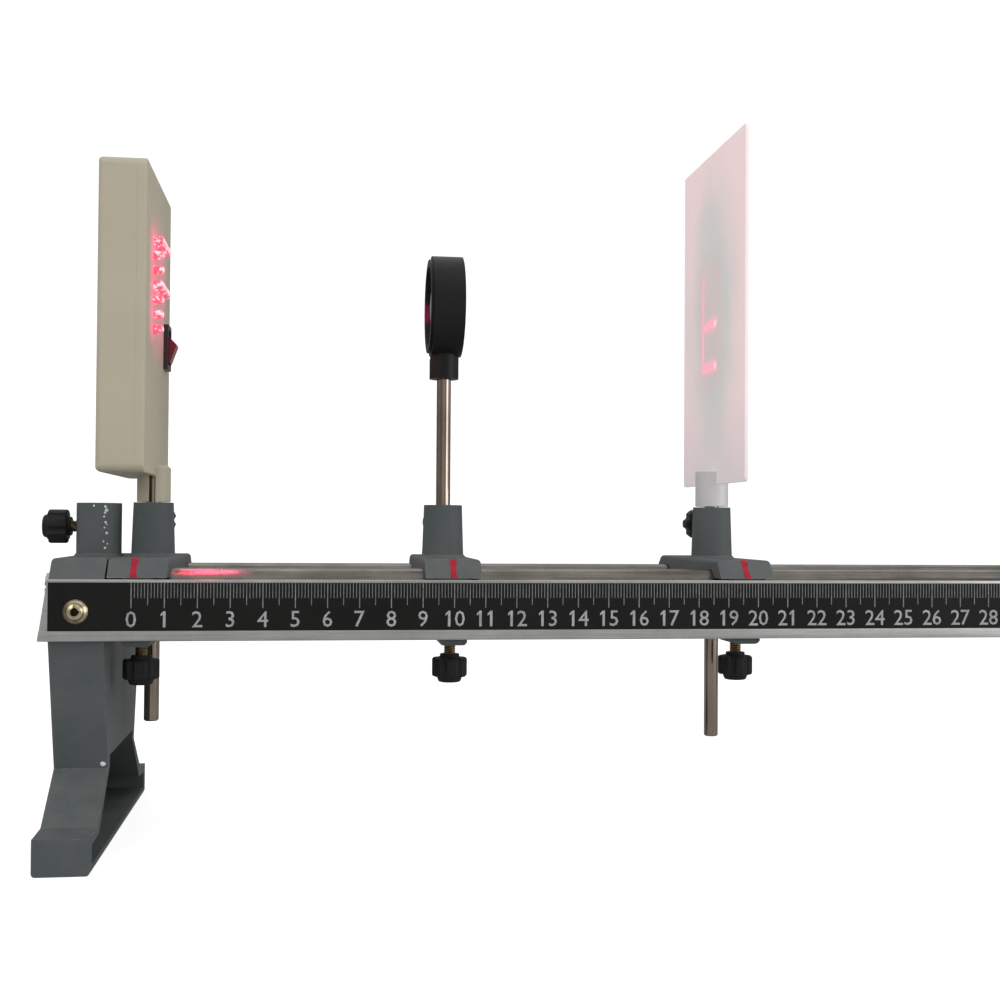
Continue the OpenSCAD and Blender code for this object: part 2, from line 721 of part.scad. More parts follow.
module lamp_rider() { rider(lamp_x); }
module lens_rider() { rider(lens_x); }
module screen_rider() { rider(screen_x); }
module lamp_rail_knob() { at_rail_screw(lamp_x) screw_knob(jaw_reach_down); }
module lamp_rail_screw() { at_rail_screw(lamp_x) screw_shank(jaw_reach_down); }
module lamp_post_knob() { at_post_screw(lamp_x) screw_knob(post_reach); }
module lamp_post_screw() { at_post_screw(lamp_x) screw_shank(post_reach); }
module lens_rail_knob() { at_rail_screw(lens_x) screw_knob(jaw_reach_down); }
module lens_rail_screw() { at_rail_screw(lens_x) screw_shank(jaw_reach_down); }
module lens_post_knob() { at_post_screw(lens_x) screw_knob(post_reach); }
module lens_post_screw() { at_post_screw(lens_x) screw_shank(post_reach); }
module screen_rail_knob() { at_rail_screw(screen_x) screw_knob(jaw_reach_down); }
module screen_rail_screw() { at_rail_screw(screen_x) screw_shank(jaw_reach_down); }
module screen_post_knob() { at_post_screw(screen_x) screw_knob(post_reach); }
module screen_post_screw() { at_post_screw(screen_x) screw_shank(post_reach); }

// One rod between two heights, with bevelled ends
module rod(x, bottom, top) {
    len = top - bottom;
    color("lightgray") translate([x, 0, bottom]) rotate_extrude() polygon([
        [0, 0], [rod_r - rod_bevel, 0], [rod_r, rod_bevel], [rod_r, len - rod_bevel],
        [rod_r - rod_bevel, len], [0, len]
    ]);
}

module lamp_rod() { rod(lamp_x, post_top - lamp_rod_drop, lamp_rod_top); }
module lens_rod() { rod(lens_x, post_top - lens_rod_drop, lens_rod_top); }
module screen_rod() { rod(screen_x, post_top - screen_rod_drop, screen_rod_top); }

// Outer form of the closed light box about the rod's axis
module box_form() {
    translate([face_ahead - box_t / 2, 0, box_mid_z]) intersection() {
        along_x(box_t) polygon(soft_rect(box_w, box_h, box_corner, box_corner));
        translate([0, 0, -box_h / 2]) linear_extrude(box_h)
            polygon(soft_rect(box_t, box_w, box_back_edge, box_front_edge));
        along_y(box_w) polygon(soft_rect(box_t, box_h, box_back_edge, box_front_edge));
    }
}

// Block inside the box, drawn in by a margin from its sides, between two places along the bench
module box_inside(margin, x_low, x_high) {
    translate([(x_low + x_high) / 2, 0, box_mid_z]) along_x(x_high - x_low)
        polygon(soft_rect(box_w - 2 * margin, box_h - 2 * margin, box_corner - box_wall + box_clear,
            box_corner - box_wall + box_clear));
}

// Half space in front of, or behind, a place along the bench
module box_slab(x_low, x_high) {
    translate([x_low, -box_w, 0]) cube([x_high - x_low, 2 * box_w, 2 * (box_z + box_h)]);
}

// Round collar about the rod with a coned top
module collar_form() {
    taper = collar_cap;
    foot_z = post_top + collar_gap;
    translate([0, 0, foot_z]) cylinder(d = collar_d, h = collar_top - taper - foot_z);
    translate([0, 0, collar_top - taper]) cylinder(d1 = collar_d, d2 = collar_d - 2 * taper, h = taper);
}

// The four corner places of the box screws
module at_box_screws() {
    y = box_w / 2 - box_screw_inset;
    z = box_h / 2 - box_screw_inset;
    for (side = [-1, 1], up = [-1, 1]) translate([0, side * y, box_mid_z + up * z]) children();
}

// Space that the battery door fills, widened by a gap
module door_space(gap) {
    translate([box_back_x - cut, -room_half - gap, door_z - door_half_z - gap])
        cube([door_skin + cut, room_half + box_w + gap, 2 * (door_half_z + gap)]);
    translate([box_back_x + door_skin - gap, -room_half - gap, door_z - room_h / 2 - gap + cell_gap])
        cube([box_wall - door_skin + gap + gap, room_half + box_w + gap, room_h + 2 * gap - 2 * cell_gap]);
}

// Rear shell of the light box, with the cells' ribs, the screw posts and the rear half of the collar
module box_shell() {
    color([0.69, 0.66, 0.58]) translate([lamp_x, 0, 0]) difference() {
        union() {
            difference() {
                intersection() { box_form(); box_slab(box_back_x - cut, split_x); }
                box_inside(box_wall, box_inner_back, split_x + cut);
            }
            intersection() {
                union() {
                    collar_form();
                    translate([0, 0, box_z]) cylinder(d = collar_d, h = collar_rise);
                }
                translate([-collar_d, -collar_d, 0])
                    cube([collar_d - collar_slot / 2, 2 * collar_d, collar_top]);
            }
            at_box_screws() translate([(box_back_x + split_x) / 2 + box_wall / 4, 0, 0])
                bar_x(box_post_d / 2, split_x - box_back_x - box_wall / 2);
            translate([(box_inner_back + box_inner_face - door_skin) / 2 - box_clear, 0, door_z])
                along_x(box_inner_face - box_inner_back + door_skin - 2 * box_clear) difference() {
                    square([2 * (room_half + rib_t), room_h + 2 * rib_t], center = true);
                    square([2 * room_half, room_h], center = true);
                }
        }
        translate([0, 0, post_top]) cylinder(r = head_bore_r, h = lamp_rod_top - post_top + collar_gap);
        door_space(box_clear);
        at_box_screws() {
            translate([box_back_x, 0, 0]) bar_x(box_screw_d / 2 + box_clear, 2 * box_t);
            translate([box_back_x, 0, 0]) rotate([0, 90, 0])
                cylinder(d1 = box_screw_head + 2 * box_clear, d2 = box_screw_d + 2 * box_clear, h = box_wall);
        }
    }
}

// Places of the small lamps on the front face, as (y, z)
lamp_places = concat(
    [for (row = [0 : rows - 1]) [-stem_y, led_top_z - row * led_pitch]],
    [for (row = bar_rows, i = [1 : bar_lamps]) [-stem_y + i * led_pitch, led_top_z - row * led_pitch]]);

// Front cover of the light box, with the lamps' holes, the switch's window and the front half of the collar
module box_cover() {
    color([0.69, 0.66, 0.58]) translate([lamp_x, 0, 0]) difference() {
        union() {
            difference() {
                union() {
                    intersection() { box_form(); box_slab(split_x, box_t); }
                    box_inside(box_wall + box_clear, split_x - cover_lip, split_x + cut);
                }
                box_inside(box_wall + box_clear + cover_lip_t, split_x - cover_lip - cut, box_inner_face);
            }
            intersection() {
                collar_form();
                union() {
                    translate([collar_slot / 2, -collar_d, 0]) cube([collar_d, 2 * collar_d, collar_top]);
                    translate([box_clear - collar_slot / 2, -collar_d, box_z])
                        cube([collar_d, 2 * collar_d, collar_rise]);
                }
            }
            at_box_screws() translate([(split_x + face_ahead) / 2 - box_wall / 4, 0, 0])
                bar_x(box_post_d / 2, face_ahead - split_x - box_wall / 2);
        }
        translate([0, 0, post_top]) cylinder(r = head_bore_r, h = lamp_rod_top - post_top + collar_gap);
        intersection() {
            translate([0, 0, post_top])
                cylinder(d = collar_d + 2 * box_clear, h = collar_top - post_top + box_clear);
            translate([-collar_d, -collar_d, 0])
                cube([collar_d - collar_slot / 2 + box_clear, 2 * collar_d, collar_top + box_clear]);
        }
        for (p = lamp_places) translate([face_ahead, p[0], p[1]]) bar_x(led_hole_r, 4 * box_wall);
        translate([face_ahead, switch_y, switch_zc])
            cube([4 * box_wall, switch_w + 2 * box_clear, switch_h + 2 * box_clear], center = true);
        at_box_screws() {
            translate([split_x, 0, 0]) bar_x(box_screw_d / 2, 2 * (cover_t - box_wall));
            translate([split_x - (cover_lip + cut) / 2, 0, 0])
                bar_x(box_post_d / 2 + box_clear, cover_lip + cut);
        }
    }
}

// Countersunk screws through the shell into the cover
module box_screws() {
    reach = split_x - box_back_x + cover_t - box_wall - box_clear;
    color("gray") translate([lamp_x, 0, 0]) at_box_screws() translate([box_back_x, 0, 0]) rotate([0, 90, 0])
        difference() {
            union() {
                cylinder(d = box_screw_d, h = reach);
                cylinder(d1 = box_screw_head, d2 = box_screw_d, h = box_wall);
            }
            for (turn = [0, 90]) rotate(turn)
                cube([plate_screw_cross_share * box_screw_head, box_wall / 3, box_wall], center = true);
        }
}

// Circuit board that carries the small lamps
module led_board() {
    low_y = -stem_y - board_margin;
    mid_y = -stem_y + board_margin;
    high_y = -stem_y + bar_lamps * led_pitch + board_margin;
    bottom = board_top - board_h;
    notch = led_top_z - bar_rows[1] * led_pitch - board_margin;
    color("darkgreen") translate([lamp_x + board_x - board_t / 2, 0, 0]) along_x(board_t)
        polygon([
            [low_y, bottom], [mid_y, bottom], [mid_y, notch], [high_y, notch],
            [high_y, board_top], [low_y, board_top]
        ]);
}

// Round lamps that form the letter: a stem and two bars
module leds() {
    color("red") translate([lamp_x + board_x, 0, 0]) for (p = lamp_places)
        translate([0, p[0], p[1]]) rotate([0, 90, 0]) {
            cylinder(d = led_flange_d, h = led_flange_h, $fn = 24);
            cylinder(d = led_d, h = led_flange_h + box_wall + led_out - led_d / 2, $fn = 24);
            translate([0, 0, led_flange_h + box_wall + led_out - led_d / 2]) sphere(d = led_d, $fn = 24);
        }
}

// Resistor on the back of the board
module led_resistor() {
    color("tan") translate([lamp_x + board_x - board_t - resistor_r, -stem_y + bar_lamps * led_pitch / 2,
        led_top_z - led_pitch]) bar_y(resistor_r, resistor_len);
}

// Housing of the rocker switch with its bezel and well
module switch_body() {
    color([0.1, 0.1, 0.1]) translate([lamp_x + face_ahead, switch_y, switch_zc]) difference() {
        union() {
            translate([-switch_depth / 2 + bezel_t / 2, 0, 0])
                cube([switch_depth + bezel_t, switch_w, switch_h], center = true);
            translate([bezel_t / 2, 0, 0]) along_x(bezel_t)
                polygon(soft_rect(bezel_w, bezel_h, bezel_border, bezel_border));
        }
        translate([bezel_t / 2 - well_depth / 2 + cut / 2, 0, 0])
            cube([bezel_t + well_depth + cut, switch_w - 2 * switch_wall, switch_h - 2 * switch_wall],
                center = true);
        bar_y(rocker_pin / 2 + screw_clear, switch_w + cut);
    }
}

// Brass blades behind the switch
module switch_terminals() {
    color("goldenrod") translate([lamp_x + face_ahead - switch_depth - terminal_len / 2, switch_y, switch_zc])
        for (side = [-1, 1]) translate([0, 0, side * terminal_pitch / 2])
            cube([terminal_len, terminal_w, terminal_t], center = true);
}

// Rocker with its ridge, drawn level and then tilted to the pressed side
module switch_rocker() {
    ridge = [for (a = [-45 : 15 : 45])
        [rocker_h - rocker_ridge_r + rocker_ridge_r * cos(a), rocker_ridge_r * sin(a)]];
    color("red") translate([lamp_x + face_ahead, switch_y, switch_zc]) rotate([0, -rocker_tilt, 0]) {
        along_y(rocker_w) polygon(concat(
            [[-rocker_root, -rocker_root_half], [bezel_t / 2, -rocker_half]], ridge,
            [[bezel_t / 2, rocker_half], [-rocker_root, rocker_root_half]]));
        bar_y(rocker_pin / 2, switch_w - switch_wall);
    }
}

// Two round cells, one above the other and facing opposite ways
module battery_cells() {
    color("darkseagreen") translate([lamp_x + cell_x, 0, 0]) for (i = [0, 1])
        translate([0, 0, room_z + (i + 1 / 2) * cell_step]) rotate([0, 0, 180 * i]) {
            bar_y(cell_r, cell_len);
            translate([0, -cell_len / 2 - cell_nub_h / 2, 0]) bar_y(cell_nub_d / 2, cell_nub_h);
        }
}

// Contact plates and coned springs at the cells' ends
module battery_contacts() {
    half_z = cell_r - cell_gap;
    color("lightgray") translate([lamp_x + cell_x, 0, 0]) for (i = [0, 1])
        translate([0, 0, room_z + (i + 1 / 2) * cell_step]) rotate([0, 0, 180 * i]) {
            translate([0, -room_half + contact_t / 2, 0])
                cube([cell_r, contact_t, 2 * half_z], center = true);
            translate([0, -cell_len / 2 - cell_nub_h, 0]) rotate([90, 0, 0])
                cylinder(r = cell_nub_d / 2, h = contact_room - contact_t - cell_nub_h);
            translate([0, room_half - contact_t / 2, 0]) cube([cell_r, contact_t, 2 * half_z], center = true);
            translate([0, room_half - contact_t, 0]) rotate([90, 0, 0])
                cylinder(r1 = spring_r, r2 = spring_tip_r, h = contact_room - contact_t);
        }
}

// Sliding door over the cells, in the back of the shell
module battery_door() {
    color([0.66, 0.63, 0.55]) translate([lamp_x, 0, 0]) intersection() {
        box_form();
        door_space(0);
    }
}

// Insulated wire through a list of points
module wire(points) {
    for (i = [0 : len(points) - 2]) {
        run = points[i + 1] - points[i];
        translate(points[i]) rotate([0, acos(run[2] / norm(run)), atan2(run[1], run[0])])
            cylinder(r = wire_r, h = norm(run), $fn = 8);
        if (i > 0) translate(points[i]) sphere(r = elbow_share * wire_r, $fn = 8);
    }
}

// Leads from the cells to the switch and on to the board
module box_wires() {
    lead_x = cell_x;
    lead_y = room_half - rib_t - contact_t;
    above = room_top + wire_r;
    blade_x = face_ahead - switch_depth - terminal_len / 2;
    blade_y = switch_y + terminal_w / 2 + wire_r;
    board_back = board_x - board_t - wire_r;
    color("firebrick") translate([lamp_x, 0, 0]) {
        wire([[lead_x, lead_y, above], [blade_x, lead_y, above + led_pitch],
            [blade_x, blade_y, switch_zc - terminal_pitch / 2]]);
        wire([[blade_x, blade_y, switch_zc + terminal_pitch / 2],
            [blade_x, blade_y, switch_zc + bezel_h / 2],
            [board_back, -stem_y + bar_lamps * led_pitch, led_top_z - bar_rows[1] * led_pitch]]);
        wire([[lead_x, -lead_y, above], [board_back, -lead_y, above + led_pitch],
            [board_back, -stem_y - led_pitch / 4, led_top_z - (rows - 1) * led_pitch]]);
    }
}

// Black ring with a neck that takes the rod
module lens_holder() {
    color([0.12, 0.12, 0.12]) translate([lens_x, 0, lens_z]) difference() {
        union() {
            bar_x(holder_r, holder_w);
            translate([0, 0, -holder_r - neck_len]) cylinder(d = neck_d, h = holder_r + neck_len);
        }
        translate([ledge_x + holder_w / 2, 0, 0]) bar_x(lens_seat_r, holder_w);
        bar_x(ledge_r, holder_w + cut);
        translate([-holder_w / 2, 0, 0]) rotate([0, 90, 0]) difference() {
            cylinder(r = holder_r + cut, h = 2 * holder_step, center = true);
            cylinder(r = holder_r - holder_rim, h = 2 * holder_step + cut, center = true);
        }
        translate([0, 0, -holder_r - neck_len - cut])
            cylinder(r = head_bore_r, h = neck_grip + rod_bevel + cut);
    }
}

// Biconvex lens
module lens_glass() {
    deep = lens_radius - lens_bulge;
    color([0.8, 0.9, 0.95, 0.5]) translate([lens_x + lens_mid_x, 0, lens_z]) intersection() {
        bar_x(lens_d / 2, 4 * lens_bulge + lens_edge);
        translate([deep - lens_edge / 2, 0, 0]) sphere(r = lens_radius, $fn = 240);
        translate([-deep + lens_edge / 2, 0, 0]) sphere(r = lens_radius, $fn = 240);
    }
}

// Ring that keeps the lens on its ledge
module lens_keeper() {
    color([0.15, 0.15, 0.15]) translate([lens_x + keeper_x + keeper_w / 2, 0, lens_z]) difference() {
        bar_x(lens_d / 2, keeper_w);
        bar_x(keeper_in_r, keeper_w + cut);
    }
}

// White socket that the screen stands in
module screen_socket() {
    color("white") translate([screen_x, 0, 0]) difference() {
        translate([0, 0, socket_bottom]) cylinder(d = socket_d, h = socket_top - socket_bottom);
        translate([0, 0, socket_bottom - cut])
            cylinder(r = head_bore_r, h = screen_rod_top - socket_bottom + screen_rod_cap / 2 + cut);
        translate([screen_ahead - screen_t / 2 - slot_clear, -socket_d, screen_z])
            cube([screen_t + 2 * slot_clear, 2 * socket_d, screen_slot + cut]);
    }
}

// Frosted screen
module screen_panel() {
    color([0.95, 0.9, 0.92]) translate([screen_x + screen_ahead, 0, screen_z + screen_h / 2])
        along_x(screen_t) polygon(soft_rect(screen_w, screen_h, screen_corner, screen_corner));
}

left_end_support();
right_end_support();
front_rail();
rear_rail();
rail_plugs();
rail_screws();
scale_plate();
scale_label();
scale_plate_screws();
left_socket_knob();
left_socket_screw();
right_socket_knob();
right_socket_screw();
lamp_rider();
lamp_rail_knob();
lamp_rail_screw();
lamp_post_knob();
lamp_post_screw();
lamp_rod();
lens_rider();
lens_rail_knob();
lens_rail_screw();
lens_post_knob();
lens_post_screw();
lens_rod();
screen_rider();
screen_rail_knob();
screen_rail_screw();
screen_post_knob();
screen_post_screw();
screen_rod();
box_shell();
box_cover();
box_screws();
led_board();
leds();
led_resistor();
switch_body();
switch_terminals();
switch_rocker();
battery_cells();
battery_contacts();
battery_door();
box_wires();
lens_holder();
lens_glass();
lens_keeper();
screen_socket();
screen_panel();
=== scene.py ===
"""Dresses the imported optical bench: a lit box, a lens and a frosted screen on three riders.

Everything is in metres in the frame of the CAD. The classes below stand for the sub-assemblies of the
bench. Each holds its sizes as fields, builds its surfaces as numpy arrays and gives them their finishes.
"""

import logging
import math
from dataclasses import dataclass, field, replace
from enum import Enum

import bmesh
import bpy
import numpy as np
from mathutils import Matrix, Vector


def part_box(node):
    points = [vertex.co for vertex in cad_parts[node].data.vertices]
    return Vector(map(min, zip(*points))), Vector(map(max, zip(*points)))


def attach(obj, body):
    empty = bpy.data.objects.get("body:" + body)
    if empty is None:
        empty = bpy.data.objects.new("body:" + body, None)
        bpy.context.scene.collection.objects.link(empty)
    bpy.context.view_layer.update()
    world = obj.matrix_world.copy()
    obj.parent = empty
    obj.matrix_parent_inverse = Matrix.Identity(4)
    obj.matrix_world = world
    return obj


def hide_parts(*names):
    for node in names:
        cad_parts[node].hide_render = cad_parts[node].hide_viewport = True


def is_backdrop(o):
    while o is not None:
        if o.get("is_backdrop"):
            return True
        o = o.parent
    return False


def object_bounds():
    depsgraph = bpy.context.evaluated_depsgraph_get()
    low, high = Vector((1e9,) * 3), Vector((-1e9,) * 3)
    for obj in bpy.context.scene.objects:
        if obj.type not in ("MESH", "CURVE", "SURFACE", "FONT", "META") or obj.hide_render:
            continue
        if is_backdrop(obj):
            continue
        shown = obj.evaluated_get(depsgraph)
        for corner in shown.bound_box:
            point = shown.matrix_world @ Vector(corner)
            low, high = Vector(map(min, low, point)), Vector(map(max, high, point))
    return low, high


MM = 0.001
log = logging.getLogger("bench")

Colour = tuple[float, float, float]
Point = tuple[float, float, float]

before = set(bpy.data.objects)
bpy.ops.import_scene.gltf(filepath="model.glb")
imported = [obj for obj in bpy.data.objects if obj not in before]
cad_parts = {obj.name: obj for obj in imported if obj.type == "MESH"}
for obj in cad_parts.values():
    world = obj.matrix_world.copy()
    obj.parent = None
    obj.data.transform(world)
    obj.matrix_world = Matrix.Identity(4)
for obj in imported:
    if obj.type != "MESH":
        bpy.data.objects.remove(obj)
CAD_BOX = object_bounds()


@dataclass
class Surface:
    """A mesh as arrays: points of shape (n, 3) in metres and lists of faces that point outwards."""

    points: np.ndarray
    faces: list

    def placed(self, place: Matrix) -> "Surface":
        """The surface moved by a matrix: each point is multiplied by its turn and shifted.

        Args:
            place: where the surface's own origin and axes go in the frame.

        Returns:
            A new surface in its place.
        """
        m = np.array(place)
        return Surface(self.points @ m[:3, :3].T + m[:3, 3], self.faces)

    @staticmethod
    def joined(parts: list) -> "Surface":
        """One surface that holds several, each with its faces counted on from the one before.

        Args:
            parts: the surfaces.

        Returns:
            The new surface.
        """
        starts = np.cumsum([0] + [len(p.points) for p in parts[:-1]])
        faces = [[int(i) + int(s) for i in f] for p, s in zip(parts, starts) for f in p.faces]
        return Surface(np.concatenate([p.points for p in parts]), faces)


def tube(rings: np.ndarray) -> Surface:
    """A closed skin over rings of points, with a flat cap on each end.

    Point (i, j) of the grid is ring i at place j round it. Neighbouring rings are joined by quads, and the
    first and last rings are closed by one face each. Rings run anticlockwise seen from the last one.

    Args:
        rings: array of shape (rings, points in a ring, 3).

    Returns:
        The closed surface.
    """
    rows, columns = rings.shape[:2]
    row = np.arange(rows - 1)[:, None] * columns
    here = np.arange(columns)[None, :]
    there = (here + 1) % columns
    quads = np.stack([row + here, row + there, row + columns + there, row + columns + here], -1)
    last = (rows - 1) * columns
    caps = [list(range(columns))[::-1], list(range(last, last + columns))]
    return Surface(rings.reshape(-1, 3), quads.reshape(-1, 4).tolist() + caps)


def turned(profile: np.ndarray, columns: int = 48) -> Surface:
    """A surface of revolution about z: x = r cos(a), y = r sin(a), z = h for each (r, h) of the profile.

    Args:
        profile: array of (radius, height), from the low end to the high end.
        columns: how many places round the axis.

    Returns:
        The closed surface.
    """
    a = np.linspace(0, math.tau, columns, endpoint=False)
    r, h = profile[:, :1], profile[:, 1:]
    return tube(np.stack([r * np.cos(a), r * np.sin(a), np.broadcast_to(h, (len(profile), columns))], -1))


def slabs(low: np.ndarray, high: np.ndarray) -> Surface:
    """Many small upright blocks at once, each between its own two corners.

    Args:
        low: array (n, 3) of the low corners.
        high: array (n, 3) of the high corners.

    Returns:
        All blocks as one surface, eight points and six faces each.
    """
    pick = np.array([[i >> 2 & 1, i >> 1 & 1, i & 1] for i in range(8)])
    points = np.where(pick[None], high[:, None], low[:, None]).reshape(-1, 3)
    sides = np.array([[0, 1, 3, 2], [4, 6, 7, 5], [0, 4, 5, 1], [2, 3, 7, 6], [0, 2, 6, 4], [1, 5, 7, 3]])
    faces = (np.arange(len(low))[:, None, None] * 8 + sides[None]).reshape(-1, 4)
    return Surface(points, faces.tolist())


class Piece:
    """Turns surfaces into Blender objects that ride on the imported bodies."""

    @staticmethod
    def add(name: str, surface: Surface, material: bpy.types.Material, body: str, slot: str = "",
            replaces: tuple = (), sharp: float = 40.0) -> bpy.types.Object:
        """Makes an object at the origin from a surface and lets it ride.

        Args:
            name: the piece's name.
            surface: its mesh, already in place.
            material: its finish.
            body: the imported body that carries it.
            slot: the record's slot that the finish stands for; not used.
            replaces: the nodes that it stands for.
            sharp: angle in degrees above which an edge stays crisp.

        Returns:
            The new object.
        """
        mesh = bpy.data.meshes.new(name)
        mesh.from_pydata(surface.points.tolist(), [], surface.faces)
        mesh.validate()
        return Piece.of_mesh(name, mesh, material, body, slot, replaces, sharp)

    @staticmethod
    def of_mesh(name: str, mesh: bpy.types.Mesh, material: bpy.types.Material, body: str, slot: str = "",
                replaces: tuple = (), sharp: float = 40.0) -> bpy.types.Object:
        """Finishes a mesh as a piece: smooth faces, crisp edges above an angle, one material, one body.

        Args:
            name, material, body, replaces, sharp: as for add. slot: not used.
            mesh: the mesh, already in place.

        Returns:
            The new object.
        """
        mesh.materials.clear()
        mesh.materials.append(material)
        mesh.shade_smooth()
        mesh.set_sharp_from_angle(angle=math.radians(sharp))
        piece = bpy.data.objects.new(name, mesh)
        bpy.context.scene.collection.objects.link(piece)
        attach(piece, body)
        if replaces:
            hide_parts(*replaces)
        log.info("%s on %s: %d faces", name, body, len(mesh.polygons))
        return piece

    @staticmethod
    def rounded(node: str, name: str, width: float, material: bpy.types.Material, body: str,
                crisp: float = 30.0) -> bpy.types.Object:
        """A copy of a node with its triangles merged and its corners rounded, which replaces the node.

        The copy's doubles are merged, its flat triangles joined to whole faces, and each edge that turns by
        more than crisp degrees gets a bevel of the width. Weighted normals keep the large faces flat.

        Args:
            node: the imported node.
            name: the new piece's name.
            width: width of the rounding.
            material: its finish.
            body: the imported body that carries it.
            crisp: the angle above which an edge is rounded.

        Returns:
            The new object.
        """
        mesh = bpy.data.meshes.new(name)
        form = bmesh.new()
        form.from_mesh(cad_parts[node].data)
        bmesh.ops.remove_doubles(form, verts=form.verts, dist=2e-6)
        bmesh.ops.dissolve_limit(form, angle_limit=math.radians(1), verts=form.verts, edges=form.edges)
        form.to_mesh(mesh)
        form.free()
        piece = Piece.of_mesh(name, mesh, material, body, node, (node,), crisp)
        bevel = piece.modifiers.new("Rounding", "BEVEL")
        bevel.width = width
        bevel.segments = 2
        bevel.limit_method = "ANGLE"
        bevel.angle_limit = math.radians(crisp)
        bevel.use_clamp_overlap = True
        bevel.miter_outer = "MITER_SHARP"
        weights = piece.modifiers.new("Flat faces", "WEIGHTED_NORMAL")
        weights.keep_sharp = False
        weights.weight = 80
        return piece


class Tree:
    """Adds and links the nodes of one shader tree."""

    def __init__(self, tree: bpy.types.NodeTree) -> None:
        """Takes over an empty tree."""
        self.tree = tree
        tree.nodes.clear()

    def add(self, kind: str, inputs: dict | None = None, **settings) -> bpy.types.Node:
        """Adds a node, sets its properties and feeds its inputs with values or sockets.

        Args:
            kind: the node's type.
            inputs: a value or a socket for each input, by name or number.
            settings: the node's own properties.

        Returns:
            The new node.
        """
        node = self.tree.nodes.new(kind)
        for key, value in settings.items():
            setattr(node, key, value)
        for key, value in (inputs or {}).items():
            self.feed(node.inputs[key], value)
        return node

    def feed(self, socket: bpy.types.NodeSocket, value: object) -> None:
        """Links a socket to another, or sets its value.

        Args:
            socket: the input.
            value: what goes into it: a socket, a colour or a number.
        """
        if isinstance(value, bpy.types.NodeSocket):
            self.tree.links.new(value, socket)
        elif socket.type == "RGBA":
            socket.default_value = (*value, 1.0)
        else:
            socket.default_value = value

    def math(self, operation: str, a: object, b: object = 0.0, clamp: bool = False) -> bpy.types.NodeSocket:
        """A Math node's result."""
        return self.add("ShaderNodeMath", {0: a, 1: b}, operation=operation, use_clamp=clamp).outputs[0]

    def vector(self, operation: str, a: object, b: object = (0, 0, 0)) -> bpy.types.NodeSocket:
        """A Vector Math node's vector."""
        return self.add("ShaderNodeVectorMath", {0: a, 1: b}, operation=operation).outputs["Vector"]

    def span(self, value: object, low: object, high: object, to_low: object = 0.0, to_high: object = 1.0,
             smooth: bool = False) -> bpy.types.NodeSocket:
        """A value mapped from one range to another and held there.

        Args:
            value: the value.
            low, high: the range that it comes from.
            to_low, to_high: the range that it goes to.
            smooth: whether it eases in and out.

        Returns:
            The mapped value.
        """
        kind = "SMOOTHSTEP" if smooth else "LINEAR"
        node = self.add("ShaderNodeMapRange", {"Value": value, "From Min": low, "From Max": high,
                                               "To Min": to_low, "To Max": to_high}, interpolation_type=kind)
        return node.outputs["Result"]

    def blend(self, share: object, a: object, b: object) -> bpy.types.NodeSocket:
        """Two colours mixed by a share.

        Args:
            share: how much of the second colour.
            a, b: the two colours.

        Returns:
            The mixed colour.
        """
        node = self.add("ShaderNodeMix", data_type="RGBA", clamp_factor=True)
        for key, value in ((0, share), (6, a), (7, b)):
            self.feed(node.inputs[key], value)
        return node.outputs[2]

    def noise(self, place: object, scale: object, detail: float = 2.0,
              rough: float = 0.5) -> bpy.types.NodeSocket:
        """Fractal noise from 0 to 1 at a place.

        Args:
            place: where it is read.
            scale: how fine it is.
            detail: how many finer layers it has.
            rough: how strong these are.

        Returns:
            The noise.
        """
        node = self.add("ShaderNodeTexNoise", {"Vector": place, "Scale": scale, "Detail": detail,
                                               "Roughness": rough})
        return node.outputs["Fac"]

    def own_place(self) -> bpy.types.NodeSocket:
        """Object coordinates, in metres."""
        return self.add("ShaderNodeTexCoord").outputs["Object"]


class Effect:
    """A shared effect: a shader node group with named inputs and outputs, built once."""

    name = ""
    inputs: tuple = ()
    outputs: tuple = ()

    @classmethod
    def group(cls) -> bpy.types.NodeTree:
        """The group, built at its first use.

        Returns:
            The group's tree.
        """
        found = bpy.data.node_groups.get(cls.name)
        if found:
            return found
        group = bpy.data.node_groups.new(cls.name, "ShaderNodeTree")
        for title, kind, value in cls.inputs:
            socket = group.interface.new_socket(title, in_out="INPUT", socket_type=kind)
            socket.default_value = value
        for title, kind in cls.outputs:
            group.interface.new_socket(title, in_out="OUTPUT", socket_type=kind)
        tree = Tree(group)
        given = tree.add("NodeGroupInput")
        put_out = tree.add("NodeGroupOutput")
        cls.build(tree, given.outputs, put_out.inputs)
        return group

    @classmethod
    def build(cls, tree: Tree, given: object, out: object) -> None:
        """Fills the group. Each effect has its own."""
        raise NotImplementedError

    @classmethod
    def use(cls, tree: Tree, **values) -> object:
        """Places the group in a material with its own values and gives its outputs.

        Args:
            tree: the material's tree.
            values: the group's inputs by name, with underscores for spaces.

        Returns:
            The group's outputs.
        """
        node = tree.add("ShaderNodeGroup", node_tree=cls.group())
        for title, value in values.items():
            tree.feed(node.inputs[title.replace("_", " ")], value)
        return node.outputs


FLOAT, VECTOR, COLOUR = "NodeSocketFloat", "NodeSocketVector", "NodeSocketColor"


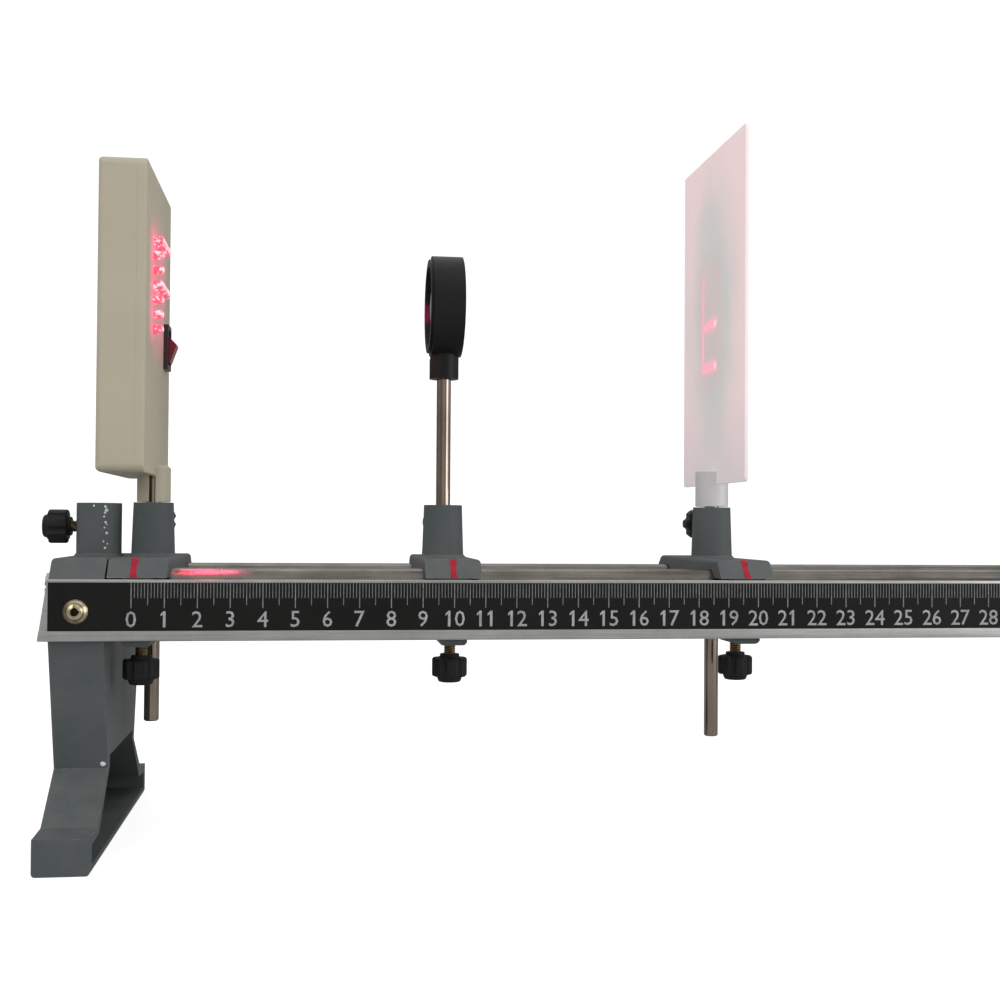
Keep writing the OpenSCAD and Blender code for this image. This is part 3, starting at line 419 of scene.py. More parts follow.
class EdgeWear(Effect):
    """Rubbed edges: how far a normal rounded over the width turns from the plain one, broken up by noise."""

    name = "Edge wear"
    inputs = (("Width", FLOAT, 0.0006), ("Amount", FLOAT, 1.0), ("Patches", FLOAT, 300.0))
    outputs = (("Mask", FLOAT),)

    @classmethod
    def build(cls, tree: Tree, given: object, out: object) -> None:
        """Mask = (1 - dot of the two normals) times a noise threshold.

        Args:
            tree: the group's tree.
            given: the group's own inputs.
            out: the sockets that it fills.
        """
        rounded = tree.add("ShaderNodeBevel", {"Radius": given["Width"]}, samples=4).outputs[0]
        plain = tree.add("ShaderNodeNewGeometry").outputs["Normal"]
        dot = tree.add("ShaderNodeVectorMath", {0: rounded, 1: plain}, operation="DOT_PRODUCT")
        turn = tree.span(tree.math("SUBTRACT", 1.0, dot.outputs["Value"]), 0.01, 0.16)
        patches = tree.span(tree.noise(tree.own_place(), given["Patches"], 3.0, 0.65), 0.48, 0.62)
        mask = tree.math("MULTIPLY", turn, patches)
        tree.feed(out["Mask"], tree.math("MULTIPLY", mask, given["Amount"], True))


class Dust(Effect):
    """Dust that settles on faces that look upwards, in soft patches."""

    name = "Dust"
    inputs = (("Amount", FLOAT, 0.3), ("Patches", FLOAT, 90.0))
    outputs = (("Mask", FLOAT),)

    @classmethod
    def build(cls, tree: Tree, given: object, out: object) -> None:
        """Mask = the normal's upward part times patches of noise.

        Args:
            tree: the group's tree.
            given: the group's own inputs.
            out: the sockets that it fills.
        """
        normal = tree.add("ShaderNodeNewGeometry").outputs["Normal"]
        up = tree.span(tree.add("ShaderNodeSeparateXYZ", {0: normal}).outputs["Z"], 0.35, 0.95)
        patches = tree.span(tree.noise(tree.own_place(), given["Patches"], 4.0, 0.6), 0.35, 0.75)
        mask = tree.math("MULTIPLY", up, patches)
        tree.feed(out["Mask"], tree.math("MULTIPLY", mask, given["Amount"], True))


class Grain(Effect):
    """Fine surface grain for a bump, coarse swells under fine pits, and a slow mottle for the colour."""

    name = "Grain"
    inputs = (("Fine", FLOAT, 1500.0), ("Coarse", FLOAT, 120.0), ("Coarse share", FLOAT, 0.5))
    outputs = (("Height", FLOAT), ("Mottle", FLOAT))

    @classmethod
    def build(cls, tree: Tree, given: object, out: object) -> None:
        """Height = fine noise and coarse noise mixed by the share; Mottle = slow noise.

        Args:
            tree: the group's tree.
            given: the group's own inputs.
            out: the sockets that it fills.
        """
        place = tree.own_place()
        fine = tree.noise(place, given["Fine"], 2.0, 0.55)
        coarse = tree.noise(place, given["Coarse"], 2.0, 0.5)
        share = given["Coarse share"]
        rest = tree.math("SUBTRACT", 1.0, share)
        tree.feed(out["Height"], tree.math("ADD", tree.math("MULTIPLY", fine, rest),
                                           tree.math("MULTIPLY", coarse, share)))
        slow = tree.noise(place, tree.math("MULTIPLY", given["Coarse"], 0.4), 3.0, 0.6)
        tree.feed(out["Mottle"], tree.span(slow, 0.3, 0.7))


class DrawnLines(Effect):
    """Fine lines that a drawing die or a brush leaves along a part."""

    name = "Drawn lines"
    inputs = (("Along", VECTOR, (1.0, 40.0, 40.0)), ("Scale", FLOAT, 60.0))
    outputs = (("Height", FLOAT), ("Stain", FLOAT))

    @classmethod
    def build(cls, tree: Tree, given: object, out: object) -> None:
        """Noise on coordinates stretched along one axis, and a slower stain on the plain ones.

        Args:
            tree: the group's tree.
            given: the group's own inputs.
            out: the sockets that it fills.
        """
        place = tree.own_place()
        stretched = tree.vector("MULTIPLY", place, given["Along"])
        tree.feed(out["Height"], tree.noise(stretched, given["Scale"], 3.0, 0.7))
        tree.feed(out["Stain"], tree.span(tree.noise(place, 35.0, 4.0, 0.65), 0.38, 0.68))


class BarGlow(Effect):
    """A soft glow round a straight bar of light: one at the bar, falling to nothing at the reach."""

    name = "Bar glow"
    inputs = (("Low end", VECTOR, (0, 0, 0)), ("High end", VECTOR, (0, 0, 0)), ("Core", FLOAT, 0.001),
              ("Reach", FLOAT, 0.005))
    outputs = (("Mask", FLOAT),)

    @classmethod
    def build(cls, tree: Tree, given: object, out: object) -> None:
        """Distance from the place to itself held within the two ends, mapped smoothly to a mask.

        Args:
            tree: the group's tree.
            given: the group's own inputs.
            out: the sockets that it fills.
        """
        place = tree.own_place()
        held = tree.vector("MINIMUM", tree.vector("MAXIMUM", place, given["Low end"]), given["High end"])
        far = tree.add("ShaderNodeVectorMath", {0: place, 1: held}, operation="DISTANCE").outputs["Value"]
        tree.feed(out["Mask"], tree.span(far, given["Reach"], given["Core"], 0.0, 1.0, True))


@dataclass(frozen=True)
class Finish:
    """A finish with a name. Each kind builds its own material, once."""

    name: str

    def material(self) -> bpy.types.Material:
        """The material, built at its first use.

        Returns:
            The material.
        """
        found = bpy.data.materials.get(self.name)
        if found:
            return found
        made = bpy.data.materials.new(self.name)
        made.use_nodes = True
        tree = Tree(made.node_tree)
        shader = tree.add("ShaderNodeBsdfPrincipled")
        output = tree.add("ShaderNodeOutputMaterial")
        tree.feed(output.inputs["Surface"], shader.outputs[0])
        self.dress(tree, shader)
        return made

    def dress(self, tree: Tree, shader: bpy.types.Node) -> None:
        """Feeds the shader. Each finish has its own."""
        raise NotImplementedError

    @staticmethod
    def near(tree: Tree, bars: tuple) -> bpy.types.NodeSocket:
        """The strongest mask of several bars.

        Args:
            tree: the material's tree.
            bars: each bar's low end, high end, core and reach.

        Returns:
            The mask.
        """
        masks = [BarGlow.use(tree, Low_end=low, High_end=high, Core=core, Reach=reach)["Mask"]
                 for low, high, core, reach in bars]
        strongest = masks[0]
        for mask in masks[1:]:
            strongest = tree.math("MAXIMUM", strongest, mask)
        return strongest

    def light_up(self, tree: Tree, shader: bpy.types.Node, bars: tuple, colour: Colour,
                 strength: float) -> None:
        """Feeds the glow of all bars to the emission, broken up a little by noise.

        Args:
            tree: the material's tree.
            shader: its surface shader.
            bars: the glowing bars.
            colour: the glow's colour.
            strength: the glow's strength.
        """
        patchy = tree.span(tree.noise(tree.own_place(), 500.0, 3.0, 0.6), 0.3, 0.65, 0.55, 1.0)
        mask = tree.math("MULTIPLY", self.near(tree, bars), patchy)
        tree.feed(shader.inputs["Emission Color"], tree.blend(mask, (0, 0, 0), colour))
        shader.inputs["Emission Strength"].default_value = strength


@dataclass(frozen=True)
class CastPaint(Finish):
    """Semi-gloss paint on a casting: swells, orange peel, rubbed edges, dust and a slow change of tone."""

    base: Colour = (0.092, 0.106, 0.111)
    pale: Colour = (0.118, 0.129, 0.129)
    bare: Colour = (0.24, 0.25, 0.25)
    dusty: Colour = (0.19, 0.19, 0.17)

    def dress(self, tree: Tree, shader: bpy.types.Node) -> None:
        """Colour from mottle, wear and dust; roughness from the same masks; bump from the grain.

        Args:
            tree: the material's tree.
            shader: its surface shader.
        """
        grain = Grain.use(tree, Fine=900.0, Coarse=130.0, Coarse_share=0.65)
        wear = EdgeWear.use(tree, Width=0.0007, Amount=0.55, Patches=420.0)["Mask"]
        dust = Dust.use(tree, Amount=0.45, Patches=150.0)["Mask"]
        colour = tree.blend(grain["Mottle"], self.base, self.pale)
        colour = tree.blend(dust, colour, self.dusty)
        tree.feed(shader.inputs["Base Color"], tree.blend(wear, colour, self.bare))
        rough = tree.math("ADD", tree.span(grain["Mottle"], 0.0, 1.0, 0.42, 0.54),
                          tree.math("MULTIPLY", dust, 0.4))
        shader.inputs["Specular IOR Level"].default_value = 0.08
        tree.feed(shader.inputs["Roughness"], rough)
        bump = tree.add("ShaderNodeBump", {"Strength": 0.35, "Distance": 0.0004, "Height": grain["Height"]})
        tree.feed(shader.inputs["Normal"], bump.outputs[0])


@dataclass(frozen=True)
class Metal(Finish):
    """Bare or plated metal with drawn lines and stains, and where given the painted shade of a recess and a
    groove.
    """

    base: Colour = (0.60, 0.59, 0.56)
    stained: Colour = (0.42, 0.41, 0.38)
    rough: float = 0.25
    spread: float = 0.12
    along: Point = (1.0, 40.0, 40.0)
    scale: float = 60.0
    depth: float = 0.00005
    streaks: float = 0.25
    recess: tuple = ()
    groove: tuple = ()
    recess_dark: Colour = (0.03, 0.022, 0.012)
    groove_dark: Colour = (0.10, 0.075, 0.04)

    def dress(self, tree: Tree, shader: bpy.types.Node) -> None:
        """Colour and roughness from the stain, bump from the lines, and the painted shade of a recess and a
        groove where given.

        Args:
            tree: the material's tree.
            shader: its surface shader.
        """
        lines = DrawnLines.use(tree, Along=self.along, Scale=self.scale)
        colour = tree.blend(tree.math("MULTIPLY", lines["Stain"], 0.6), self.base, self.stained)
        streak = tree.math("MULTIPLY", tree.span(lines["Height"], 0.42, 0.66), self.streaks)
        colour = tree.blend(streak, colour, self.stained)
        # Painted shade: a dark ring where a groove's shade would fall, and a dark disc where a recess's shade
        # would fall.
        if self.groove:
            outer, inner = (self.near(tree, bars) for bars in self.groove)
            ring = tree.math("SUBTRACT", outer, inner, True)
            colour = tree.blend(tree.math("MULTIPLY", ring, 0.8), colour, self.groove_dark)
        if self.recess:
            colour = tree.blend(self.near(tree, self.recess), colour, self.recess_dark)
        tree.feed(shader.inputs["Base Color"], colour)
        shader.inputs["Metallic"].default_value = 1.0
        rough = tree.span(lines["Stain"], 0.0, 1.0, self.rough, self.rough + self.spread)
        tree.feed(shader.inputs["Roughness"], rough)
        bump = tree.add("ShaderNodeBump", {"Strength": 0.4, "Distance": self.depth,
                                           "Height": lines["Height"]})
        tree.feed(shader.inputs["Normal"], bump.outputs[0])


@dataclass(frozen=True)
class Moulded(Finish):
    """Moulded plastic: fine grain, slight mottle, rubbed edges and dust, and where given a painted glow of
    lamp light.
    """

    base: Colour = (0.02, 0.02, 0.021)
    other: Colour = (0.026, 0.026, 0.026)
    worn: Colour = (0.08, 0.08, 0.08)
    dusty: Colour = (0.10, 0.10, 0.095)
    rough: float = 0.45
    fine: float = 2600.0
    bump: float = 0.00012
    wear: float = 0.3
    dust: float = 0.25
    through: float = 0.0
    specular: float = 0.5
    glows: tuple = ()
    glow_colour: Colour = (1.0, 0.06, 0.16)
    glow_strength: float = 0.0
    glow_base: Colour = (0.05, 0.01, 0.015)

    def dress(self, tree: Tree, shader: bpy.types.Node) -> None:
        """Colour from mottle, wear, dust and a painted glow of lamp light; roughness from mottle and dust;
        bump from the grain.

        Args:
            tree: the material's tree.
            shader: its surface shader.
        """
        grain = Grain.use(tree, Fine=self.fine, Coarse=90.0, Coarse_share=0.25)
        colour = tree.blend(grain["Mottle"], self.base, self.other)
        if self.dust:
            dust = Dust.use(tree, Amount=self.dust, Patches=200.0)["Mask"]
            colour = tree.blend(dust, colour, self.dusty)
            rough = tree.math("ADD", tree.span(grain["Mottle"], 0.0, 1.0, self.rough, self.rough + 0.1),
                              tree.math("MULTIPLY", dust, 0.35))
        else:
            rough = tree.span(grain["Mottle"], 0.0, 1.0, self.rough, self.rough + 0.1)
        if self.wear:
            mask = EdgeWear.use(tree, Width=0.0004, Amount=self.wear, Patches=900.0)["Mask"]
            colour = tree.blend(mask, colour, self.worn)
        # Painted light: the lamps' glow, as emission and as a pink tint of the base colour near the bars.
        if self.glows:
            self.light_up(tree, shader, self.glows, self.glow_colour, self.glow_strength)
            colour = tree.blend(self.near(tree, self.glows), colour, self.glow_base)
        tree.feed(shader.inputs["Base Color"], colour)
        tree.feed(shader.inputs["Roughness"], rough)
        bump = tree.add("ShaderNodeBump", {"Strength": 0.3, "Distance": self.bump, "Height": grain["Height"]})
        tree.feed(shader.inputs["Normal"], bump.outputs[0])
        shader.inputs["Specular IOR Level"].default_value = self.specular
        if self.through:
            shader.inputs["Subsurface Weight"].default_value = self.through
            shader.inputs["Subsurface Radius"].default_value = (1.0, 0.8, 0.6)
            shader.inputs["Subsurface Scale"].default_value = 0.0015


@dataclass(frozen=True)
class LitEpoxy(Finish):
    """The lit lamps: a white-hot middle in each dome, red towards its rim.

    The top lamp of the stem is at top, the others a pitch apart, and the domes end at tip_x.
    """

    top: Point = (0.0, 0.0, 0.0)
    pitch: float = 0.005
    tip_x: float = 0.0
    tip_fade: tuple = (0.0016, 0.0006)
    strength: float = 3.0
    dim_light: Colour = (0.10, 0.012, 0.02)
    red_light: Colour = (0.20, 0.038, 0.058)
    hot_light: Colour = (0.32, 0.24, 0.27)
    red: Colour = (0.60, 0.05, 0.09)
    pale: Colour = (0.9, 0.5, 0.55)

    def dress(self, tree: Tree, shader: bpy.types.Node) -> None:
        """Distance from the nearest lamp's axis, on a grid of the pitch, turns white light to red.

        Args:
            tree: the material's tree.
            shader: its surface shader.
        """
        place = tree.vector("SUBTRACT", tree.own_place(), (0.0, self.top[1], self.top[2]))
        parts = tree.add("ShaderNodeSeparateXYZ", {0: place}).outputs
        offsets = []
        for key in ("Y", "Z"):
            steps = tree.math("DIVIDE", parts[key], self.pitch)
            offsets.append(tree.math("SUBTRACT", steps, tree.math("ROUND", steps)))
        flat = tree.add("ShaderNodeCombineXYZ", {0: 0.0, 1: offsets[0], 2: offsets[1]}).outputs[0]
        away = tree.add("ShaderNodeVectorMath", {0: flat}, operation="LENGTH").outputs["Value"]
        middle = tree.span(away, 0.29, 0.08, 0.0, 1.0, True)
        tip = tree.span(parts["X"], self.tip_x - self.tip_fade[0], self.tip_x - self.tip_fade[1])
        speckle = tree.span(tree.noise(tree.own_place(), 620.0, 3.0, 0.65), 0.52, 0.62)
        hot = tree.math("MAXIMUM", tree.math("MULTIPLY", middle, tip), tree.math("MULTIPLY", speckle, 0.9))
        light = tree.span(tree.noise(tree.own_place(), 430.0, 3.0, 0.6), 0.35, 0.65, 0.55, 1.0)
        colour = tree.blend(hot, self.red_light, self.hot_light)
        tree.feed(shader.inputs["Emission Color"], tree.blend(light, self.dim_light, colour))
        shader.inputs["Emission Strength"].default_value = self.strength
        tree.feed(shader.inputs["Base Color"], tree.blend(hot, self.red, self.pale))
        shader.inputs["Roughness"].default_value = 0.12


@dataclass(frozen=True)
class FrostedSheet(Finish):
    """The frosted screen with the lens's picture of the lamps painted on it as light, upside down.

    The picture is a stem from stem_low to stem_high at stem_y, and a bar from it to bar_end at each height
    in bars. A reach is how far from such a line its mask falls to nothing.
    """

    middle: Point = (0.0, 0.0, 0.0)
    stem_y: float = 0.0115
    stem_low: float = 0.1605
    stem_high: float = 0.194
    bars: tuple = (0.1762, 0.1612)
    bar_end: float = -0.0035
    stem_reach: float = 0.0021
    bar_core: float = 0.0002
    bar_reach: float = 0.0036
    end_reach: float = 0.0026
    halo_reach: float = 0.014
    oval_half: tuple = (0.026, 0.052)
    foot_fade: tuple = (0.150, 0.122)
    grey: Colour = (0.62, 0.64, 0.62)
    rim_pink: Colour = (0.84, 0.70, 0.71)
    foot_grey: Colour = (0.64, 0.615, 0.625)
    # The painted light: the glow round the picture, the picture's lines and ends, and the strength of the
    # sheet's glow.
    halo_pink: Colour = (0.80, 0.50, 0.54)
    line_pink: Colour = (0.80, 0.36, 0.43)
    line_light: Colour = (1.0, 0.40, 0.50)
    end_light: Colour = (1.0, 0.85, 0.88)
    strength: float = 0.6

    def dress(self, tree: Tree, shader: bpy.types.Node) -> None:
        """Pink towards the rims, grey-green round the picture, a painted pink glow round the picture, the
        picture itself as painted bar glows, and a painted glow of half the sheet's colour everywhere.

        Args:
            tree: the material's tree.
            shader: its surface shader.
        """
        place = tree.own_place()
        centred = tree.vector("SUBTRACT", place, self.middle)
        oval = tree.vector("MULTIPLY", centred, (0.0, *(1 / half for half in self.oval_half)))
        away = tree.add("ShaderNodeVectorMath", {0: oval}, operation="LENGTH").outputs["Value"]
        swirl = tree.noise(place, 45.0, 3.0, 0.55)
        rim = tree.span(tree.math("ADD", away, tree.math("MULTIPLY", swirl, 0.7)), 0.75, 1.75, 0.0, 1.0, True)
        colour = tree.blend(rim, self.grey, self.rim_pink)
        height = tree.add("ShaderNodeSeparateXYZ", {0: place}).outputs["Z"]
        colour = tree.blend(tree.span(height, *self.foot_fade, 0.0, 0.7), colour, self.foot_grey)
        masks = [self.bar(tree, self.stem_y, self.stem_y, self.stem_low, self.stem_high, 0.0,
                          self.stem_reach)]
        masks += [self.bar(tree, self.bar_end, self.stem_y, z, z, self.bar_core, self.bar_reach)
                  for z in self.bars]
        picture = tree.math("MAXIMUM", masks[0], tree.math("MAXIMUM", masks[1], masks[2]))
        # Painted light: a pink glow round the picture, tinting the base colour.
        halo = self.bar(tree, self.bar_end, self.stem_y, self.stem_low, self.stem_high, 0.0, self.halo_reach)
        colour = tree.blend(tree.math("MULTIPLY", halo, 0.3), colour, self.halo_pink)
        uneven = tree.span(tree.noise(place, 420.0, 2.0, 0.6), 0.3, 0.6, 0.6, 1.0)
        patchy = tree.math("MULTIPLY", picture, uneven)
        ends = [self.bar(tree, self.bar_end, self.bar_end, z, z, 0.0, self.end_reach) for z in self.bars]
        light = tree.blend(tree.math("MAXIMUM", *ends), self.line_light, self.end_light)
        # Painted light: the picture's lines tint the base colour pink, and the emission adds the picture's
        # glow and a glow of half the sheet's colour everywhere.
        tree.feed(shader.inputs["Base Color"], tree.blend(patchy, colour, self.line_pink))
        shine = tree.blend(patchy, tree.blend(0.5, (0, 0, 0), colour), light)
        tree.feed(shader.inputs["Emission Color"], shine)
        shader.inputs["Emission Strength"].default_value = self.strength
        grain = Grain.use(tree, Fine=3200.0, Coarse=200.0, Coarse_share=0.2)
        tree.feed(shader.inputs["Roughness"], tree.span(grain["Mottle"], 0.0, 1.0, 0.5, 0.62))
        bump = tree.add("ShaderNodeBump", {"Strength": 0.25, "Distance": 0.0001, "Height": grain["Height"]})
        tree.feed(shader.inputs["Normal"], bump.outputs[0])
        shader.inputs["Subsurface Weight"].default_value = 0.4
        shader.inputs["Subsurface Radius"].default_value = (1.0, 0.75, 0.8)
        shader.inputs["Subsurface Scale"].default_value = 0.002

    def bar(self, tree: Tree, y_low: float, y_high: float, z_low: float, z_high: float, core: float,
            reach: float) -> bpy.types.NodeSocket:
        """One bar of the picture on the sheet, as deep as the sheet is thick."""
        x = self.middle[0]
        return BarGlow.use(tree, Low_end=(x - 0.01, y_low, z_low), High_end=(x + 0.01, y_high, z_high),
                           Core=core, Reach=reach)["Mask"]


@dataclass(frozen=True)
class ClearGlass(Finish):
    """Polished lens glass with a faint haze."""

    tint: Colour = (0.80, 0.83, 0.83)
    bending: float = 1.45

    def dress(self, tree: Tree, shader: bpy.types.Node) -> None:
        """Plain transmission, with the roughness from a trace of smear.

        Args:
            tree: the material's tree.
            shader: its surface shader.
        """
        shader.inputs["Base Color"].default_value = (*self.tint, 1.0)
        shader.inputs["Transmission Weight"].default_value = 1.0
        shader.inputs["IOR"].default_value = self.bending
        shader.inputs["Specular IOR Level"].default_value = 0.15
        smear = tree.noise(tree.own_place(), 160.0, 3.0, 0.6)
        tree.feed(shader.inputs["Roughness"], tree.span(smear, 0.45, 0.7, 0.0, 0.05))


@dataclass(frozen=True)
class Print(Finish):
    """Ink or paint laid on in a thin coat, slightly uneven."""

    base: Colour = (0.45, 0.46, 0.46)
    thin: Colour = (0.28, 0.29, 0.29)
    rough: float = 0.5
    patches: float = 500.0
    specular: float = 0.5

    def dress(self, tree: Tree, shader: bpy.types.Node) -> None:
        """Colour between the full and the thin coat by noise, and a fine bump.

        Args:
            tree: the material's tree.
            shader: its surface shader.
        """
        shader.inputs["Specular IOR Level"].default_value = self.specular
        patch = tree.span(tree.noise(tree.own_place(), self.patches, 3.0, 0.6), 0.35, 0.65)
        tree.feed(shader.inputs["Base Color"], tree.blend(patch, self.base, self.thin))
        tree.feed(shader.inputs["Roughness"], tree.span(patch, 0.0, 1.0, self.rough, self.rough + 0.15))
        grain = Grain.use(tree, Fine=3000.0, Coarse=300.0, Coarse_share=0.3)
        bump = tree.add("ShaderNodeBump", {"Strength": 0.2, "Distance": 0.0001, "Height": grain["Height"]})
        tree.feed(shader.inputs["Normal"], bump.outputs[0])


@dataclass(frozen=True)
class StudioPaper(Finish):
    """Backdrop paper that looks white, but throws back only a mid grey on what stands on it."""

    base: Colour = (0.50, 0.50, 0.50)
    other: Colour = (0.48, 0.48, 0.48)
    glow: float = 0.8

    def dress(self, tree: Tree, shader: bpy.types.Node) -> None:
        """An even grey, faintly mottled, with a glow that only straight looks see.

        Args:
            tree: the material's tree.
            shader: its surface shader.
        """
        patch = tree.noise(tree.own_place(), 3.0)
        tree.feed(shader.inputs["Base Color"], tree.blend(patch, self.base, self.other))
        shader.inputs["Roughness"].default_value = 0.9
        shader.inputs["Specular IOR Level"].default_value = 0.0
        shader.inputs["Emission Color"].default_value = (1.0, 1.0, 1.0, 1.0)
        straight = tree.add("ShaderNodeLightPath").outputs["Is Camera Ray"]
        tree.feed(shader.inputs["Emission Strength"], tree.math("MULTIPLY", straight, self.glow))


@dataclass
class Paints:
    """All finishes of the bench."""

    cast: Finish = CastPaint("Cast paint")
    knob: Finish = Moulded("Knob plastic", base=(0.009, 0.0095, 0.0095), other=(0.013, 0.0135, 0.0135),
                           rough=0.5, specular=0.25)
    holder: Finish = Moulded("Holder plastic", base=(0.008, 0.0085, 0.0085), other=(0.012, 0.0125, 0.012),
                             rough=0.42, dust=0.15, specular=0.22)
    thread: Finish = Metal("Yellow steel", base=(0.42, 0.30, 0.17), stained=(0.16, 0.11, 0.065), rough=0.3,
                           along=(1.0, 1.0, 1.0), scale=900.0)
    rail: Finish = Metal("Drawn tube", base=(0.245, 0.23, 0.205), stained=(0.09, 0.08, 0.07), rough=0.2,
                         spread=0.14, along=(1.0, 45.0, 45.0), scale=30.0, streaks=0.5)
    rod: Finish = Metal("Drawn rod", base=(0.40, 0.335, 0.285), stained=(0.23, 0.18, 0.145), rough=0.08,
                        spread=0.06, along=(60.0, 60.0, 1.0), scale=25.0, depth=0.00003)
    strip: Finish = Metal("Satin aluminium", base=(0.67, 0.665, 0.655), stained=(0.35, 0.345, 0.335),
                          rough=0.36, along=(1.0, 70.0, 70.0), scale=28.0, streaks=0.5)
    brass: Finish = Metal("Yellow zinc", base=(0.62, 0.54, 0.30), stained=(0.30, 0.22, 0.10), rough=0.28,
                          along=(1.0, 1.0, 1.0), scale=700.0)
    zinc: Finish = Metal("Bright zinc", base=(0.55, 0.55, 0.54), stained=(0.36, 0.36, 0.36), rough=0.3,
                         along=(1.0, 1.0, 1.0), scale=700.0)
    label: Finish = Moulded("Label black", base=(0.0085, 0.0085, 0.008), other=(0.012, 0.012, 0.0115),
                            rough=0.4, fine=1800.0, bump=0.00005, wear=0.15, dust=0.0, specular=0.15)
    ink: Finish = Print("Number ink", base=(0.44, 0.45, 0.45), thin=(0.30, 0.31, 0.31), specular=0.2)
    tick_ink: Finish = Print("Tick ink", base=(0.28, 0.29, 0.29), thin=(0.17, 0.18, 0.18), specular=0.2)
    index: Finish = Print("Index paint", base=(0.46, 0.010, 0.035), thin=(0.28, 0.008, 0.03), patches=350.0,
                          specular=0.3)
    speck: Finish = Print("White specks", base=(0.78, 0.80, 0.82), thin=(0.62, 0.65, 0.68), patches=900.0)


@dataclass
class Bench:
    """The end supports, the rails and the scale plate.

    Each drop on the boss is its angle round the boss in degrees, its height and its radius in millimetres.
    Each drop on the nose is its place along the bench and across it in millimetres.
    """

    paints: Paints
    scale: float = 0.6
    zero_x: float = -0.3
    label_top: float = 84.9 * MM
    face_y: float = -43.15 * MM
    ink_t: float = 0.03 * MM
    digit_h: float = 5.0 * MM
    digit_z: float = 71.1 * MM
    digit_pitch: float = 3.45 * MM
    tick_lengths: tuple = (7.9 * MM, 7.0 * MM, 4.8 * MM)
    tick_halves: tuple = (0.15 * MM, 0.11 * MM, 0.10 * MM)
    tick_top_gap: float = 0.1 * MM
    slant: float = 2.7 * MM
    lip_top: float = 70.0 * MM
    wall_t: float = 1.2 * MM
    strip_radii: tuple = (0.45 * MM, 0.3 * MM, 0.25 * MM, 0.25 * MM, 0.1 * MM, 0.24 * MM)
    end_soft: float = 0.15 * MM
    end_step: float = 0.25 * MM
    casting_edge: float = 0.45 * MM
    head_shares: tuple = (0.3, 0.72, 0.58)
    head_fade: float = 0.1
    boss: Point = (-0.3166, 0.0, 0.0)
    boss_r: float = 7.38 * MM
    boss_drops: tuple = ((-66, 108.6, 0.45), (-63, 107.4, 0.6), (-67, 106.6, 0.4), (-69, 105.3, 0.35),
                         (-65, 103.4, 0.4), (-62, 102.7, 0.25), (-68, 101.6, 0.3), (-62, 99.8, 0.45),
                         (-70, 97.0, 0.3), (-66, 94.8, 0.4), (-95, 108.9, 0.35), (-60, 96.2, 0.25))
    drop_rise: float = 0.22
    knee: Point = (-0.3098, -29.9 * MM, 27.2 * MM)
    knee_out: Point = (0.1, -0.98, 0.1)
    knee_drop: tuple = (0.9 * MM, 0.35 * MM)
    nose_drops: tuple = ((-310.5, -38.5), (-308.9, -37.6), (-311.8, -37.9))
    nose_z: float = 89.6 * MM
    nose_out: Point = (0.0, -0.79, 0.62)
    nose_drop: tuple = (0.3 * MM, 0.08 * MM)

    def build(self) -> None:
        """Dresses every node of the bench and adds the scale's print."""
        paints = self.paints
        for side in ("left", "right"):
            Piece.rounded(f"{side}_end_support", f"{side}_support_casting", self.casting_edge,
                          paints.cast.material(), "bench")
        dress_nodes({"front_rail": paints.rail, "rear_rail": paints.rail, "rail_plugs": paints.zinc,
                     "rail_screws": paints.zinc, "scale_label": paints.label})
        dress_nodes({"scale_plate_screws": self.screw_heads()})
        Piece.add("plate_strip", self.strip(), paints.strip.material(), "bench", "scale_plate",
                  ("scale_plate",))
        Piece.add("scale_marks", self.marks(), paints.tick_ink.material(), "bench")
        Piece.add("scale_numbers", self.numbers(), paints.ink.material(), "bench", sharp=20)
        Piece.add("paint_specks", self.specks(), paints.speck.material(), "bench", sharp=60)

    def screw_heads(self) -> Finish:
        """The plate screws' finish: painted shade of a hole in the middle of each head and of a groove ring
        round it.

        The hole and the ring's two rims are discs, each a share of the head's radius, with a soft edge.

        Returns:
            The finish.
        """
        low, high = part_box("scale_plate_screws")
        reach = (high.z - low.z) / 2
        x, z = high.x - reach, (low.z + high.z) / 2
        holes, outer, inner = (tuple(((side * x, low.y - MM, z), (side * x, high.y, z), share * reach,
                                      (share + self.head_fade) * reach) for side in (-1, 1))
                               for share in self.head_shares)
        return replace(self.paints.brass, name="Yellow zinc, painted recess shade", base=(0.76, 0.70, 0.48),
                       stained=(0.40, 0.33, 0.18), recess=holes, groove=(outer, inner))

    def strip(self) -> Surface:
        """The plate as one section carried along x: a thin wall with rounded edges on a rolled lip.

        The section is a list of (y, z) points, softened at every corner by a small curve. Its ends lean: a
        point at height z lies slant * (z - low) / (high - low) inside the plate's end, on both sides.

        Returns:
            The closed plate.
        """
        low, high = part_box("scale_plate")
        wall = high.y - self.wall_t
        corners = [(low.y, low.z), (high.y, low.z), (high.y, high.z), (wall, high.z),
                   (wall, self.lip_top), (low.y, self.lip_top)]
        section = round_corners(corners, self.strip_radii, 5)
        away = section - section.mean(0)
        away /= np.linalg.norm(away, axis=1, keepdims=True)
        lean = self.slant * (section[:, 1] - low.z) / (high.z - low.z)
        rings = []
        for end, edge, inset in ((low.x, 1, self.end_soft), (low.x, 1, 0.0), (high.x, -1, 0.0),
                                 (high.x, -1, self.end_soft)):
            x = end + edge * (lean + (0.0 if inset else self.end_step))
            rings.append(np.column_stack([x, section - away * inset]))
        return tube(np.array(rings))

    def marks(self) -> Surface:
        """Ticks at every millimetre: x = zero + n mm, with a longer one at every fifth and tenth.

        The lengths and half widths are given for a tenth, a fifth and a plain tick, in that order.

        Returns:
            All ticks as one surface of small blocks.
        """
        n = np.arange(round(self.scale / MM) + 1)
        kind = np.where(n % 10 == 0, 0, np.where(n % 5 == 0, 1, 2))
        length, half = np.array(self.tick_lengths)[kind], np.array(self.tick_halves)[kind]
        x = self.zero_x + n * MM
        face, top = np.full(len(n), self.face_y), np.full(len(n), self.label_top - self.tick_top_gap)
        low = np.stack([x - half, face - self.ink_t, self.label_top - length], -1)
        high = np.stack([x + half, face, top], -1)
        return slabs(low, high)

